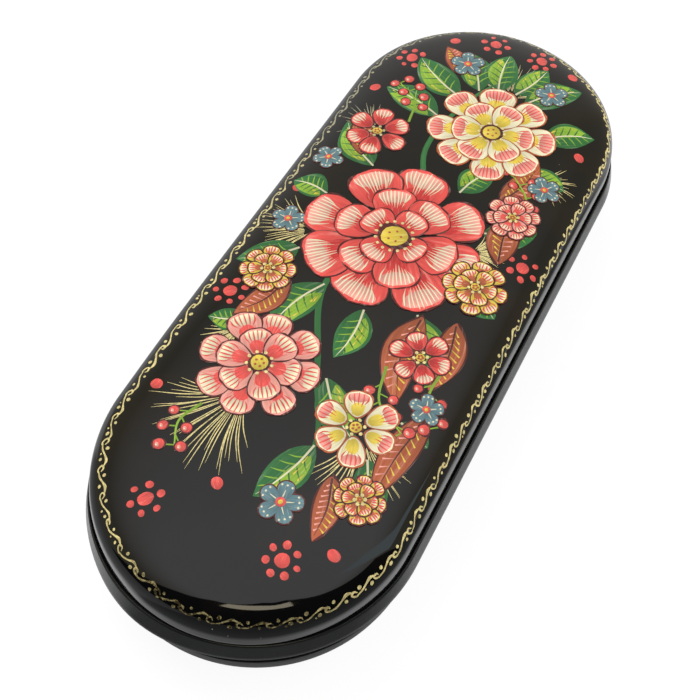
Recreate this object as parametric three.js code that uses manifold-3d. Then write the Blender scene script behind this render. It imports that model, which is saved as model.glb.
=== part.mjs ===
// Lacquered spectacle case: a domed lid hinged along one side of a lined tray.
// Millimetres, +Z up. X runs along the case, the hinges are on its +Y side and z = 0 is what it stands on.
import * as THREE from 'three';
import { mergeVertices } from 'three/addons/utils/BufferGeometryUtils.js';
import Module from 'manifold-3d';

// Plan: straight sides between two half-round ends
const straightLength = 101;
const lidWidth = 63.4;
const rimOverhang = 1.6;
const trayInset = 1.7;

// Tray
const trayHeight = 15.6;
const trayFloor = 2.4;
const trayCorner = 8;
const trayInnerCorner = 2.5;

// Rim band on top of the tray
const rimHeight = 4.9;
const rimLowerEdge = 0.6;
const rimShoulderDrop = 1.6;
const grooveDepth = 0.5;

// Lid
const lidSide = 4.5;
const lidHeight = 9.5;
const lidEdge = 0.5;
const lidWall = 3.4;
const lidCeiling = 2.2;
const shoulderRise = 4;
const innerShoulderRise = 3;
const crownReach = 24.5;

// Sleeve that the lid closes over
const sleeveWall = 1.4;
const sleeveRise = 2.2;
const sleeveGap = 0.4;
const sleeveHeadroom = 0.4;

// Linings
const liningThickness = 0.8;
const floorPadThickness = 1.2;
const liningDrop = 0.4;
const liningEdge = 0.3;

// Hinges
const hingeSpacing = 56;
const hingeProud = 0.2;
const leafLength = 16;
const leafThickness = 0.5;
const leafMargin = 0.2;
const barrelRadius = 0.8;
const knuckleCount = 3;
const knuckleGap = 0.3;
const pinRadius = 0.35;

// Nails in the hinge leaves
const nailEndMargin = 3;
const nailLength = 2.4;
const nailTip = 0.6;
const nailRadius = 0.3;
const nailHeadRadius = 0.6;
const nailHeadHeight = 0.3;

// Clearances
const glueGap = 0.15;
const partingGap = 0.3;
const seatGap = 0.2;
const barrelClearance = 0.3;
const pinClearance = 0.1;
const nailClearance = 0.1;
const cutOvershoot = 1;

// Fineness of round work
const endFacets = 48;
const arcSteps = 3;
const domeSteps = 8;
const smallFacets = 16;
const mergeTolerance = 1e-4;

// Places worked out from the sizes
const lidRadius = lidWidth / 2;
const rimRadius = lidRadius + rimOverhang;
const trayRadius = rimRadius - trayInset;
const lidInnerRadius = lidRadius - lidWall;
const sleeveRadius = lidInnerRadius - sleeveGap;
const trayInnerRadius = sleeveRadius + glueGap;
const wallLiningRadius = sleeveRadius - sleeveWall - glueGap;
const rimBottom = trayHeight + glueGap;
const rimTop = rimBottom + rimHeight;
const lidBottom = rimTop + partingGap;
const sleeveTop = rimTop + sleeveRise;
const hingeAxisY = lidRadius + hingeProud;
const leafInner = lidInnerRadius + leafMargin;
const leafOuter = hingeAxisY - barrelRadius - barrelClearance;
const knucklePitch = (leafLength + knuckleGap) / knuckleCount;
const knuckleLength = knucklePitch - knuckleGap;
const quarterTurn = Math.PI / 2;

// Finishes
const blackLacquer = new THREE.MeshStandardMaterial({ color: 0x101112, roughness: 0.12, metalness: 0 });
const satinLacquer = new THREE.MeshStandardMaterial({ color: 0x34383a, roughness: 0.45, metalness: 0 });
const sleeveLacquer = new THREE.MeshStandardMaterial({ color: 0x16120f, roughness: 0.35, metalness: 0 });
const velvet = new THREE.MeshStandardMaterial({ color: 0x7d1420, roughness: 0.95, metalness: 0 });
const brass = new THREE.MeshStandardMaterial({ color: 0xb8923f, roughness: 0.35, metalness: 1 });

const wasm = await Module();
wasm.setup();

// A closed geometry as a solid that can be joined and cut
function toSolid(geometry) {
  geometry.deleteAttribute('normal');
  geometry.deleteAttribute('uv');
  const merged = mergeVertices(geometry, mergeTolerance);
  const corners = merged.index.array;
  const kept = [];
  for (let start = 0; start < corners.length; start += 3) {
    const triangle = corners.slice(start, start + 3);
    if (new Set(triangle).size === 3) {
      kept.push(...triangle);
    }
  }
  const vertProperties = merged.getAttribute('position').array;
  const triVerts = new Uint32Array(kept);
  return new wasm.Manifold(new wasm.Mesh({ numProp: 3, vertProperties, triVerts }));
}

// A finished solid as a named mesh
function toMesh(name, solid, material) {
  const { vertProperties, triVerts } = solid.getMesh();
  const geometry = new THREE.BufferGeometry();
  geometry.setAttribute('position', new THREE.BufferAttribute(vertProperties, 3));
  geometry.setIndex(new THREE.BufferAttribute(triVerts, 1));
  geometry.computeVertexNormals();
  const mesh = new THREE.Mesh(geometry, material);
  mesh.name = name;
  return mesh;
}

// A turned solid whose two halves are drawn apart along X, so that they become the case's round ends.
// Its facets stand outside the true circle, which puts the straight sides at the profile's own radius.
function stadiumSolid(profile) {
  const halfFacet = Math.PI / endFacets;
  const turned = new THREE.LatheGeometry(profile, endFacets, halfFacet);
  const position = turned.getAttribute('position');
  for (let index = 0; index < position.count; index += 1) {
    const column = Math.floor(index / profile.length);
    const end = Math.sign(Math.sin(halfFacet * (2 * column + 1)));
    position.setX(index, position.getX(index) / Math.cos(halfFacet) + end * straightLength / 2);
    position.setZ(index, position.getZ(index) / Math.cos(halfFacet));
  }
  turned.rotateX(quarterTurn);
  return toSolid(turned);
}

// A flat-faced ring round the case, between two radii and two heights
function stadiumRing(innerRadius, outerRadius, bottom, top) {
  const profile = new THREE.Path();
  profile.moveTo(innerRadius, bottom);
  profile.lineTo(outerRadius, bottom);
  profile.lineTo(outerRadius, top);
  profile.lineTo(innerRadius, top);
  profile.lineTo(innerRadius, bottom);
  return stadiumSolid(profile.getPoints());
}

// A block between two heights, given by its reach along X and Y
function block(xReach, yReach, zReach) {
  const [x0, x1] = xReach;
  const [y0, y1] = yReach;
  const [z0, z1] = zReach;
  const geometry = new THREE.BoxGeometry(x1 - x0, y1 - y0, Math.abs(z1 - z0));
  geometry.translate((x0 + x1) / 2, (y0 + y1) / 2, (z0 + z1) / 2);
  return toSolid(geometry);
}

// A round bar along X, on the hinge's axis
function bar(radius, length, centreX, axisZ) {
  const geometry = new THREE.CylinderGeometry(radius, radius, length, smallFacets);
  geometry.rotateZ(quarterTurn);
  geometry.translate(centreX, hingeAxisY, axisZ);
  return toSolid(geometry);
}

// A countersunk nail whose head is level with z = 0, pointing along rise (+1 up, -1 down).
// With a clearance it is the hole that the nail goes in, open at its head.
function nailSolid(rise, clearance, overshoot) {
  const profile = new THREE.Path();
  profile.moveTo(0, -nailLength - clearance);
  profile.lineTo(nailRadius + clearance, -nailLength + nailTip - clearance);
  profile.lineTo(nailRadius + clearance, -nailHeadHeight - clearance);
  profile.lineTo(nailHeadRadius + clearance, -clearance);
  profile.lineTo(nailHeadRadius + clearance, overshoot);
  profile.lineTo(0, overshoot);
  const geometry = new THREE.LatheGeometry(profile.getPoints(), smallFacets);
  geometry.rotateX(-rise * quarterTurn);
  return toSolid(geometry);
}

const nailReach = leafLength / 2 - nailEndMargin;
const nailPlaces = [-nailReach, nailReach];
const nailY = (leafInner + leafOuter) / 2;

// The nail holes of one leaf, in that leaf's frame
function cutNailHoles(solid, rise, centreX = 0, faceZ = 0) {
  let cut = solid;
  for (const x of nailPlaces) {
    const hole = nailSolid(rise, nailClearance, cutOvershoot).translate([centreX + x, nailY, faceZ]);
    cut = cut.subtract(hole);
  }
  return cut;
}

// Every other knuckle along a barrel, from the given one on
function knucklePlaces(first) {
  const places = [];
  for (let index = first; index < knuckleCount; index += 2) {
    places.push((index + 0.5) * knucklePitch - (leafLength + knuckleGap) / 2);
  }
  return places;
}

// One hinge leaf in the frame of the face that it is let into: z = 0 is that face
function leafSolid(rise, firstKnuckle) {
  const axisZ = -rise * partingGap / 2;
  const plateZ = [0, rise * leafThickness];
  let leaf = block([-leafLength / 2, leafLength / 2], [leafInner, leafOuter], plateZ);
  for (const centreX of knucklePlaces(firstKnuckle)) {
    const reach = [centreX - knuckleLength / 2, centreX + knuckleLength / 2];
    leaf = leaf.add(block(reach, [leafOuter - seatGap, hingeAxisY], plateZ));
    leaf = leaf.add(bar(barrelRadius, knuckleLength, centreX, axisZ));
  }
  const pinHole = bar(pinRadius + pinClearance, leafLength + cutOvershoot, 0, axisZ);
  return cutNailHoles(leaf.subtract(pinHole), rise);
}

// The recess for one leaf, open towards the hinge and past the face
function mortise(rise, centreX, faceZ) {
  const reach = leafLength / 2 + seatGap;
  const depth = [faceZ - rise * cutOvershoot, faceZ + rise * (leafThickness + seatGap)];
  return block([centreX - reach, centreX + reach], [leafInner - seatGap, rimRadius + cutOvershoot], depth);
}

// The groove that a hinge's barrel turns in
function barrelGroove(centreX, axisZ) {
  return bar(barrelRadius + barrelClearance, leafLength + 2 * seatGap, centreX, axisZ);
}

const hingePlaces = [
  { side: 'left', x: -hingeSpacing / 2 },
  { side: 'right', x: hingeSpacing / 2 },
];

// Lid: z = 0 is its rim face
function lidShell() {
  const innerSide = sleeveRise + sleeveHeadroom;
  const ceiling = lidHeight - lidCeiling;
  const profile = new THREE.Path();
  profile.moveTo(0, ceiling);
  profile.bezierCurveTo(
    crownReach, ceiling,
    lidInnerRadius, innerSide + innerShoulderRise,
    lidInnerRadius, innerSide,
  );
  profile.lineTo(lidInnerRadius, 0);
  profile.lineTo(lidRadius - lidEdge, 0);
  profile.quadraticCurveTo(lidRadius, 0, lidRadius, lidEdge);
  profile.lineTo(lidRadius, lidSide);
  profile.bezierCurveTo(lidRadius, lidSide + shoulderRise, crownReach, lidHeight, 0, lidHeight);
  let shell = stadiumSolid(profile.getPoints(domeSteps));
  for (const { x } of hingePlaces) {
    shell = shell.subtract(mortise(1, x, 0));
    shell = shell.subtract(barrelGroove(x, -partingGap / 2));
    shell = cutNailHoles(shell, 1, x);
  }
  return shell;
}

// Velvet sheet under the crown, inside the sleeve
function lidLining() {
  const innerSide = sleeveRise + sleeveHeadroom;
  const top = lidHeight - lidCeiling - glueGap;
  const dome = new THREE.Path();
  dome.moveTo(0, top);
  dome.bezierCurveTo(
    crownReach, top,
    lidInnerRadius, innerSide + innerShoulderRise - glueGap,
    lidInnerRadius, innerSide - glueGap,
  );
  const upper = dome.getPoints(domeSteps).filter((point) => point.x < wallLiningRadius);
  const lower = upper.map((point) => new THREE.Vector2(point.x, point.y - liningThickness));
  return stadiumSolid([...lower, ...upper.reverse()]);
}

// Tray with a rounded bottom edge
function trayShell() {
  const flatRadius = trayRadius - trayCorner;
  const innerFlat = trayInnerRadius - trayInnerCorner;
  const profile = new THREE.Path();
  profile.moveTo(0, 0);
  profile.lineTo(flatRadius, 0);
  profile.absarc(flatRadius, trayCorner, trayCorner, -quarterTurn, 0);
  profile.lineTo(trayRadius, trayHeight);
  profile.lineTo(trayInnerRadius, trayHeight);
  profile.absarc(innerFlat, trayFloor + trayInnerCorner, trayInnerCorner, 0, -quarterTurn, true);
  profile.lineTo(0, trayFloor);
  return stadiumSolid(profile.getPoints(arcSteps));
}

// Band on top of the tray, with a rounded shoulder that falls away from the lid
function baseRim() {
  const shoulderWidth = rimOverhang + grooveDepth;
  const profile = new THREE.Path();
  profile.moveTo(trayInnerRadius, rimBottom);
  profile.lineTo(rimRadius - rimLowerEdge, rimBottom);
  profile.absarc(rimRadius - rimLowerEdge, rimBottom + rimLowerEdge, rimLowerEdge, -quarterTurn, 0);
  profile.absellipse(
    rimRadius - shoulderWidth, rimTop - rimShoulderDrop,
    shoulderWidth, rimShoulderDrop, 0, quarterTurn,
  );
  profile.lineTo(trayInnerRadius, rimTop);
  profile.lineTo(trayInnerRadius, rimBottom);
  let rim = stadiumSolid(profile.getPoints(arcSteps));
  for (const { x } of hingePlaces) {
    rim = rim.subtract(mortise(-1, x, rimTop));
    rim = rim.subtract(barrelGroove(x, rimTop + partingGap / 2));
    rim = cutNailHoles(rim, -1, x, rimTop);
  }
  return rim;
}

// Ring glued inside the tray and the rim, standing up into the lid
function innerSleeve() {
  return stadiumRing(sleeveRadius - sleeveWall, sleeveRadius, trayFloor + trayInnerCorner, sleeveTop);
}

function trayWallLining() {
  const bottom = trayFloor + glueGap + liningEdge;
  return stadiumRing(wallLiningRadius - liningThickness, wallLiningRadius, bottom, sleeveTop - liningDrop);
}

function trayFloorLining() {
  const bottom = trayFloor + glueGap;
  const radius = wallLiningRadius - liningThickness - glueGap;
  const profile = new THREE.Path();
  profile.moveTo(0, bottom);
  profile.lineTo(radius, bottom);
  profile.lineTo(radius, bottom + floorPadThickness);
  profile.lineTo(0, bottom + floorPadThickness);
  return stadiumSolid(profile.getPoints());
}

// One half of a hinge: its leaf and the nails that hold it
function hingeHalf(name, rise, firstKnuckle) {
  const half = new THREE.Group();
  half.add(toMesh(`${name}_leaf`, leafSolid(rise, firstKnuckle), brass));
  nailPlaces.forEach((x, index) => {
    const nail = toMesh(`${name}_nail_${index + 1}`, nailSolid(rise, 0, 0), brass);
    nail.position.set(x, nailY, 0);
    half.add(nail);
  });
  return half;
}

const lid = new THREE.Group();
lid.position.z = lidBottom;
lid.add(toMesh('lid_shell', lidShell(), blackLacquer));
lid.add(toMesh('lid_lining', lidLining(), velvet));

const base = new THREE.Group();
base.add(toMesh('tray_shell', trayShell(), satinLacquer));
base.add(toMesh('base_rim', baseRim(), satinLacquer));
base.add(toMesh('inner_sleeve', innerSleeve(), sleeveLacquer));
base.add(toMesh('tray_wall_lining', trayWallLining(), velvet));
base.add(toMesh('tray_floor_lining', trayFloorLining(), velvet));

for (const { side, x } of hingePlaces) {
  const lidHalf = hingeHalf(`hinge_${side}_lid`, 1, 1);
  lidHalf.position.set(x, 0, 0);
  lid.add(lidHalf);
  const baseHalf = hingeHalf(`hinge_${side}_base`, -1, 0);
  baseHalf.position.set(x, 0, rimTop);
  base.add(baseHalf);
  const pin = toMesh(`hinge_${side}_pin`, bar(pinRadius, leafLength, x, rimTop + partingGap / 2), brass);
  base.add(pin);
}

const spectacleCase = new THREE.Group();
spectacleCase.add(base, lid);

export default spectacleCase;
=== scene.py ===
"""A lacquered spectacle case with a painted lid, laid out as a Blender add-on."""

import bisect
import math
import random

import bmesh
import bpy
from bpy.props import FloatProperty, FloatVectorProperty, IntProperty, PointerProperty
from bpy.types import Operator, Panel, PropertyGroup
from mathutils import Matrix, Vector, noise


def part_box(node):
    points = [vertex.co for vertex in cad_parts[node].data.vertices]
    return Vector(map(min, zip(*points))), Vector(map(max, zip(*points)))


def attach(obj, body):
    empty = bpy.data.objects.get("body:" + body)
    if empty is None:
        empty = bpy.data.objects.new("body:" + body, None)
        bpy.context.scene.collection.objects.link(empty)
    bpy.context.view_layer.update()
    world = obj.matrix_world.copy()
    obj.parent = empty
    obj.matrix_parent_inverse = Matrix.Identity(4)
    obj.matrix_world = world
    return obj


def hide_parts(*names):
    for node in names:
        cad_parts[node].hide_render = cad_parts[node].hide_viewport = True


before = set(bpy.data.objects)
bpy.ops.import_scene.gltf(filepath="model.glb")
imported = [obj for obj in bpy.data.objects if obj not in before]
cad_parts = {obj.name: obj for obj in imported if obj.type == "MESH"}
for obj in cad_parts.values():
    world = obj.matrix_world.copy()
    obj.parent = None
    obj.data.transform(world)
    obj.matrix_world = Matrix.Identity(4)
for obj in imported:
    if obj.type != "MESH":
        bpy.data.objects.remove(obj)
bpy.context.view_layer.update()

bl_info = {
    "name": "Painted Spectacle Case",
    "version": (1, 0, 0),
    "blender": (4, 5, 0),
    "location": "View3D > Sidebar > Case",
    "description": "Builds a lacquered spectacle case with a painted lid, velvet lining and brass hinges",
    "category": "Mesh",
}

MM = 0.001
PHOTO_WIDTH = 700
SENSOR_WIDTH = 36.0

# How far a cutter reaches past what it cuts, and how close two points are before they become one
CUT_PAST = 1 * MM
MERGE = 0.001 * MM

# Steps in the lid's curve: for its mesh, and for finding places on it
CURVE_STEPS = 64
LOOKUP_STEPS = 600

# Places taken from the frame
LID_LOW, LID_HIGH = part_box("lid_shell")
RIM_LOW, RIM_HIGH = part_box("base_rim")
TRAY_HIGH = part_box("tray_shell")[1]
SLEEVE_LOW, SLEEVE_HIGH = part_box("inner_sleeve")
WALL_LOW, WALL_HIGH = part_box("tray_wall_lining")
FLOOR_LOW, FLOOR_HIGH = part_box("tray_floor_lining")
LID_LINING_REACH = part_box("lid_lining")[1].y
LEAF_LOW, LEAF_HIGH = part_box("hinge_right_lid_leaf")
PIN_LOW, PIN_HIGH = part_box("hinge_right_pin")
LID_RADIUS = LID_HIGH.y
END_X = LID_HIGH.x - LID_RADIUS
HINGE_AXIS = Vector((0, (PIN_LOW.y + PIN_HIGH.y) / 2, (PIN_LOW.z + PIN_HIGH.z) / 2))
HINGE_X = (LEAF_LOW.x + LEAF_HIGH.x) / 2

# The bow of the lid's hinge side: its middle, its length to each end, the height where it starts
# and the height over which it grows
BOW_X = -27 * MM
BOW_NEAR = 36 * MM
BOW_FAR = 85 * MM
BOW_START = 1.2 * MM
BOW_RISE = 3.8 * MM

# Directions from the near end's centre: to the tip that faces the viewer, to the corner where the lid's
# lower edge is tucked in, and to the band's swollen corner
NEAR_TURN = math.radians(203)
TUCK_TURN = math.radians(234)
SWELL_TURN = math.radians(166)

# The direction from the far end's centre to the front corner, where the scroll lies further in
CORNER_TURN = -0.47

# How closely each of these changes keeps to its direction
TUCK_FOCUS = 10
SWELL_FOCUS = 16
SCROLL_FOCUS = 6


def length(name, description, millimetres):
    """A size in the panel, given in millimetres."""
    return FloatProperty(
        name=name, description=description, default=millimetres * MM, min=0, unit="LENGTH", precision=5
    )


def colour(name, description, red, green, blue):
    """A colour in the panel, given as it looks on a screen, from 0 to 255."""

    def linear(level):
        """A screen level as an amount of light."""
        share = level / 255
        return share / 12.92 if share <= 0.04045 else ((share + 0.055) / 1.055) ** 2.4

    return FloatVectorProperty(
        name=name,
        description=description,
        subtype="COLOR",
        size=3,
        min=0,
        max=1,
        default=(linear(red), linear(green), linear(blue)),
    )


def angle_of(name, description, degrees):
    """An angle in the panel, given in degrees."""
    return FloatProperty(name=name, description=description, default=math.radians(degrees), subtype="ANGLE")


def pixels(name, description, count):
    """A length in the picture."""
    return FloatProperty(name=name, description=description, default=count, subtype="PIXEL")


class LidSizes(PropertyGroup):
    """The lid's section."""

    side_height: length("Side height", "Straight part of the lid's side", 1.8)
    side_lean: length("Side lean", "How far the side leans in over its straight part", 0.06)
    flare: length("Flare", "How far the lid's lower edge stands out past the plain shell", 0.25)
    near_reach: length("Near reach", "How much further the hand-made lid reaches at one end", 0.4)
    near_sway: length("Near sway", "How far that end lies away from the hinge side", 0.67)
    far_reach: length("Far reach", "How much further the lid reaches at the other end", 0.7)
    hinge_bow: length("Hinge bow", "How far the shoulder bows out along the hinge side", 0.45)
    corner_tuck: length("Corner tuck", "How far the lower edge is tucked in at the front's near corner", 0.4)
    tuck_rise: length("Tuck rise", "Height over which the tuck fades", 5.0)
    shoulder_rise: length("Shoulder rise", "How far the side's curve reaches up into the shoulder", 7.6)
    crown_reach: length("Crown reach", "How far the flat of the crown reaches out to the shoulder", 28.8)
    edge_radius: length("Edge radius", "Rounding of the lid's lower edge", 0.5)
    wall: length("Wall", "Thickness of the lid's side", 3.4)
    ceiling: length("Ceiling", "Thickness of the lid's crown", 2.2)
    inner_side: length("Inner side", "Upright part inside the lid", 2.6)
    inner_rise: length("Inner rise", "How far the inside curve reaches up", 3.0)


class BaseSizes(PropertyGroup):
    """The sections of the tray, its band and its sleeve."""

    tray_corner: length("Tray corner", "Rounding under the tray", 9.2)
    tray_shoulder: length("Tray shoulder", "Rounding of the tray under the band", 2.4)
    lip_drop: length("Lip drop", "How far the tray's lip lies below its top", 5.3)
    lip_step: length("Lip step", "How far the lip stands out from the tray above it", 0.45)
    lip_edge: length("Lip edge", "Rounding of the lip", 0.15)
    tray_floor: length("Tray floor", "Thickness of the tray's floor", 2.4)
    tray_inner_corner: length("Tray inner corner", "Rounding inside the tray", 2.5)
    tray_wall: length("Tray wall", "Thickness of the tray's side", 3.55)
    rim_lower_edge: length("Band lower edge", "Rounding under the band", 0.5)
    rim_upper_edge: length("Band upper edge", "Rounding of the band's outer top edge", 0.4)
    ledge_drop: length("Ledge drop", "How far the band's ledge falls to its outer edge", 0.5)
    face_slant: length("Face slant", "How far the band's face slants out towards its lower edge", 0.75)
    ridge_drop: length("Ridge drop", "How far the ridge beside the groove lies below the band's top", 0.07)
    groove_depth: length("Groove depth", "Depth of the groove under the lid's edge", 0.7)
    groove_reach: length("Groove reach", "How far the groove reaches out past the lid", 0.3)
    groove_width: length("Groove width", "Width of the groove", 1.0)
    corner_swell: length("Corner swell", "How far the band stands out at one corner of the hinge side", 0.6)
    sleeve_wall: length("Sleeve wall", "Thickness of the sleeve", 1.4)
    edge_radius: length("Edge radius", "Rounding of the small edges", 0.3)


class LiningSizes(PropertyGroup):
    """The velvet linings."""

    floor_gap: length("Floor gap", "Room round the pad on the tray's floor", 0.15)
    floor_lift: length("Floor lift", "Room under that pad", 0.12)
    floor_roll: length("Floor roll", "Radius of the pad's rolled edge", 0.45)
    wall_gap: length("Wall gap", "Room behind the velvet band in the sleeve", 0.12)
    wall_foot: length("Wall foot", "Room under that band", 0.15)
    wall_head: length("Wall head", "Room over that band", 0.1)
    wall_swell: length("Wall swell", "How far the band swells between its edges", 0.12)
    lid_gap: length("Lid gap", "Room between the lid and its sheet", 0.22)
    lid_margin: length("Lid margin", "Room round the sheet's edge", 0.5)
    cloth: length("Cloth", "Thickness of the band and of the lid's sheet", 0.62)
    ripple: length("Ripple", "How far the cloth ripples", 0.1)
    ripple_scale: FloatProperty(name="Ripple scale", description="Ripples in a metre", default=110)
    finer: FloatProperty(name="Finer", description="How many fine ripples lie in a broad one", default=2.3)


class HingeSizes(PropertyGroup):
    """Room for the hinges."""

    seat_gap: length("Seat gap", "Room round a leaf in its recess", 0.2)
    barrel_room: length("Barrel room", "Radius of the groove that a barrel turns in", 1.1)
    leaf_seat: length("Leaf seat", "Depth of a leaf's recess", 0.53)


class BorderSizes(PropertyGroup):
    """The scroll round the lid."""

    inset: length("Inset", "Distance of the scroll from the lid's side, seen from above", 1.65)
    front_sway: length("Front sway", "How much further out the scroll lies on the front side", 0.55)
    hinge_sway: length("Hinge sway", "How much further in the scroll lies on the hinge side", 1.4)
    near_sway: length("Near sway", "How much further out the scroll lies at the near end", 0.45)
    corner: length("Corner", "How much further in the scroll lies at the far front corner", 1.5)
    path_radius: length("Path radius", "Radius of the scroll's path round the ends", 29.9)
    pitch: length("Pitch", "Length of one scroll", 5.1)
    stretch: FloatProperty(
        name="Stretch",
        description="How much longer a scroll is on the hinge side",
        default=0.13,
        subtype="FACTOR",
    )
    seed: IntProperty(name="Seed", description="Start of the hand's small variations", default=11)


class PaintColours(PropertyGroup):
    """Colours of the painting."""

    coral: colour("Coral", "Main red", 238, 84, 76)
    crimson: colour("Crimson", "Deep red", 204, 48, 46)
    pink: colour("Pink", "Light red", 248, 166, 150)
    cream: colour("Cream", "Warm white", 252, 240, 200)
    yellow: colour("Yellow", "Clear yellow", 233, 205, 72)
    dark_green: colour("Dark green", "Leaf ground", 40, 112, 52)
    light_green: colour("Light green", "Leaf lights", 146, 188, 48)
    teal: colour("Teal", "Grey blue", 98, 134, 142)
    brown: colour("Brown", "Red brown", 184, 92, 52)
    maroon: colour("Maroon", "Outlines and shadows", 84, 20, 18)
    gold: colour("Gold", "Gold powder", 254, 236, 164)
    # The dull gold is a greyer gold that the border takes on towards the far hinge side
    dull_gold: colour("Dull gold", "Gold that has gone grey on the far hinge side", 158, 156, 136)


class FinishColours(PropertyGroup):
    """Colours of the other finishes."""

    gloss: colour("Gloss lacquer", "Polished black", 10, 10, 11)
    satin: colour("Satin lacquer", "Rubbed black", 30, 31, 30)
    # The tray's black is the band's satin made darker: painted shade for the shadowed floor that it mirrors
    # under the band
    tray: colour("Tray lacquer", "Black under the band", 18, 20, 21)
    sleeve: colour("Sleeve lacquer", "Black inside the rim", 24, 20, 18)
    velvet: colour("Velvet", "Lining", 128, 18, 30)
    brass: colour("Brass", "Hinges", 222, 190, 122)
    floor: colour("Floor", "Pale floor", 232, 232, 232)


class ViewPlace(PropertyGroup):
    """Where the camera stands."""

    azimuth: angle_of("Azimuth", "Turn round the case", -67.2715)
    elevation: angle_of("Elevation", "Height above the horizon", 53.1187)
    roll: angle_of("Roll", "Turn about the line of sight", 4.7486)
    distance: length("Distance", "From the middle of the lid's lower edge", 258.048)
    nearest: length("Nearest", "Where the view begins", 10)
    focal_pixels: pixels("Focal length", "In pixels of the picture", 1210.81)
    right_pixels: pixels("Right", "How far the aim lies right of the middle", 29.3204)
    down_pixels: pixels("Down", "How far the aim lies below the middle", -57.6902)


class CaseSettings(PropertyGroup):
    """All sizes and colours of the case."""

    lid: PointerProperty(type=LidSizes)
    base: PointerProperty(type=BaseSizes)
    lining: PointerProperty(type=LiningSizes)
    hinge: PointerProperty(type=HingeSizes)
    border: PointerProperty(type=BorderSizes)
    paint: PointerProperty(type=PaintColours)
    finish: PointerProperty(type=FinishColours)
    view: PointerProperty(type=ViewPlace)


def settings():
    """The case's settings in this scene."""
    return bpy.context.scene.spectacle_case


# Materials

# Outputs of the node that tells rays apart
CAMERA_RAY = 0
GLOSSY_RAY = 3
GLASS_RAY = 6

# The output of the node that tells a point's place on its own object
OWN_PLACE = 3

# Amounts of red, green and blue light
BROWN_CLOUD = (0.010, 0.0065, 0.004)
DUST = (0.42, 0.40, 0.36)
BARE_BOARD = (0.030, 0.016, 0.009)
WARM_WHITE = (1.0, 0.93, 0.78)
# Painted shade that darkens the gold round the near tip
GOLD_TIP_SHADE = (0.042, 0.028, 0.006)
COOL_SHINE = (0.96, 0.99, 1.0)
PILE_SHEEN = (1.0, 0.45, 0.45)


class Tone:
    """A node's output that can be used in an expression."""

    def __init__(self, mixture, socket):
        self.mixture = mixture
        self.socket = socket

    def _math(self, operation, first, second):
        """A node that works out one operation."""
        return self.mixture.node("Math", {"operation": operation}, {0: first, 1: second})

    def __add__(self, other):
        return self._math("ADD", self, other)

    def __radd__(self, other):
        return self._math("ADD", other, self)

    def __sub__(self, other):
        return self._math("SUBTRACT", self, other)

    def __rsub__(self, other):
        return self._math("SUBTRACT", other, self)

    def __mul__(self, other):
        return self._math("MULTIPLY", self, other)

    def __rmul__(self, other):
        return self._math("MULTIPLY", other, self)

    def __gt__(self, other):
        return self._math("GREATER_THAN", self, other)

    def __lt__(self, other):
        return self._math("LESS_THAN", self, other)


class Mixture:
    """The nodes of a material or of the world, while they are put together."""

    def __init__(self, owner):
        owner.use_nodes = True
        self.owner = owner
        self.tree = owner.node_tree
        self.tree.nodes.clear()

    def node(self, kind, options=None, inputs=None, output=0):
        """Any node: its type, its settings, and the values or links of its sockets."""
        node = self.tree.nodes.new("ShaderNode" + kind)
        for key, value in (options or {}).items():
            if key == "stops":
                set_stops(node.color_ramp, value)
            else:
                setattr(node, key, value)
        for key, value in (inputs or {}).items():
            if isinstance(value, Tone):
                self.tree.links.new(value.socket, node.inputs[key])
            else:
                node.inputs[key].default_value = value
        return Tone(self, node.outputs[output]) if node.outputs else None

    def place(self):
        """Where a point lies on the case."""
        return self.node("TexCoord", output=OWN_PLACE)

    def grain(self, place, scale, detail=3.0, roughness=0.5, stretch=(1, 1, 1)):
        """Soft noise of one size, from 0 to 1."""
        turned = self.node("Mapping", None, {0: place, 3: stretch})
        return self.node(
            "TexNoise", None, {"Vector": turned, "Scale": scale, "Detail": detail, "Roughness": roughness}
        )

    def ramp(self, value, *stops):
        """A value remapped by stops of place and level."""
        levels = [(at, (level, level, level, 1)) for at, level in stops]
        return self.node("ValToRGB", {"stops": levels}, {0: value})

    def blend(self, share, first, second):
        """Two colours mixed by a share."""
        return self.node("Mix", {"data_type": "RGBA"}, {0: share, 6: rgba(first), 7: rgba(second)}, 2)

    def bump(self, height, strength, distance):
        """A normal that follows a height."""
        return self.node("Bump", None, {"Height": height, "Strength": strength, "Distance": distance})

    def part(self, place, axis):
        """One coordinate of a place."""
        return self.node("SeparateXYZ", None, {0: place}, axis)

    def fade(self, value, start, end):
        """0 at one value, 1 at another, and even between them."""
        return self.node("MapRange", {"clamp": True}, {0: value, 1: start, 2: end})

    def larger(self, first, second):
        """The larger of two values."""
        return self.node("Math", {"operation": "MAXIMUM"}, {0: first, 1: second})

    def seen_rays(self):
        """1 for rays that show the background: from the camera, off gloss and through glass."""
        total = 0
        for ray in (CAMERA_RAY, GLOSSY_RAY, GLASS_RAY):
            total = self.node("LightPath", output=ray) + total
        return self.node("Math", {"operation": "MINIMUM"}, {0: total, 1: 1.0})

    def glow(self, shade, strength):
        """A shader that gives light."""
        return self.node("Emission", None, {"Color": rgba(shade), "Strength": strength})

    def surface(self, sockets):
        """The main shader, with the values or links of its sockets, as the material's surface."""
        return self.finished(self.node("BsdfPrincipled", None, sockets))

    def finished(self, shader):
        """The material with a shader as its surface."""
        self.node("OutputMaterial", None, {"Surface": shader})
        return self.owner


def rgba(value):
    """A colour with its fourth number, or a link as it is."""
    return value if isinstance(value, Tone) else (*value[:3], 1)


def toned(value, share):
    """A colour made darker or lighter."""
    return tuple(min(level * share, 1) for level in value[:3])


def set_stops(ramp, stops):
    """The stops of a colour ramp."""
    while len(ramp.elements) < len(stops):
        ramp.elements.new(0.5)
    for element, (at, level) in zip(ramp.elements, stops):
        element.position = at
        element.color = level


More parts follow.
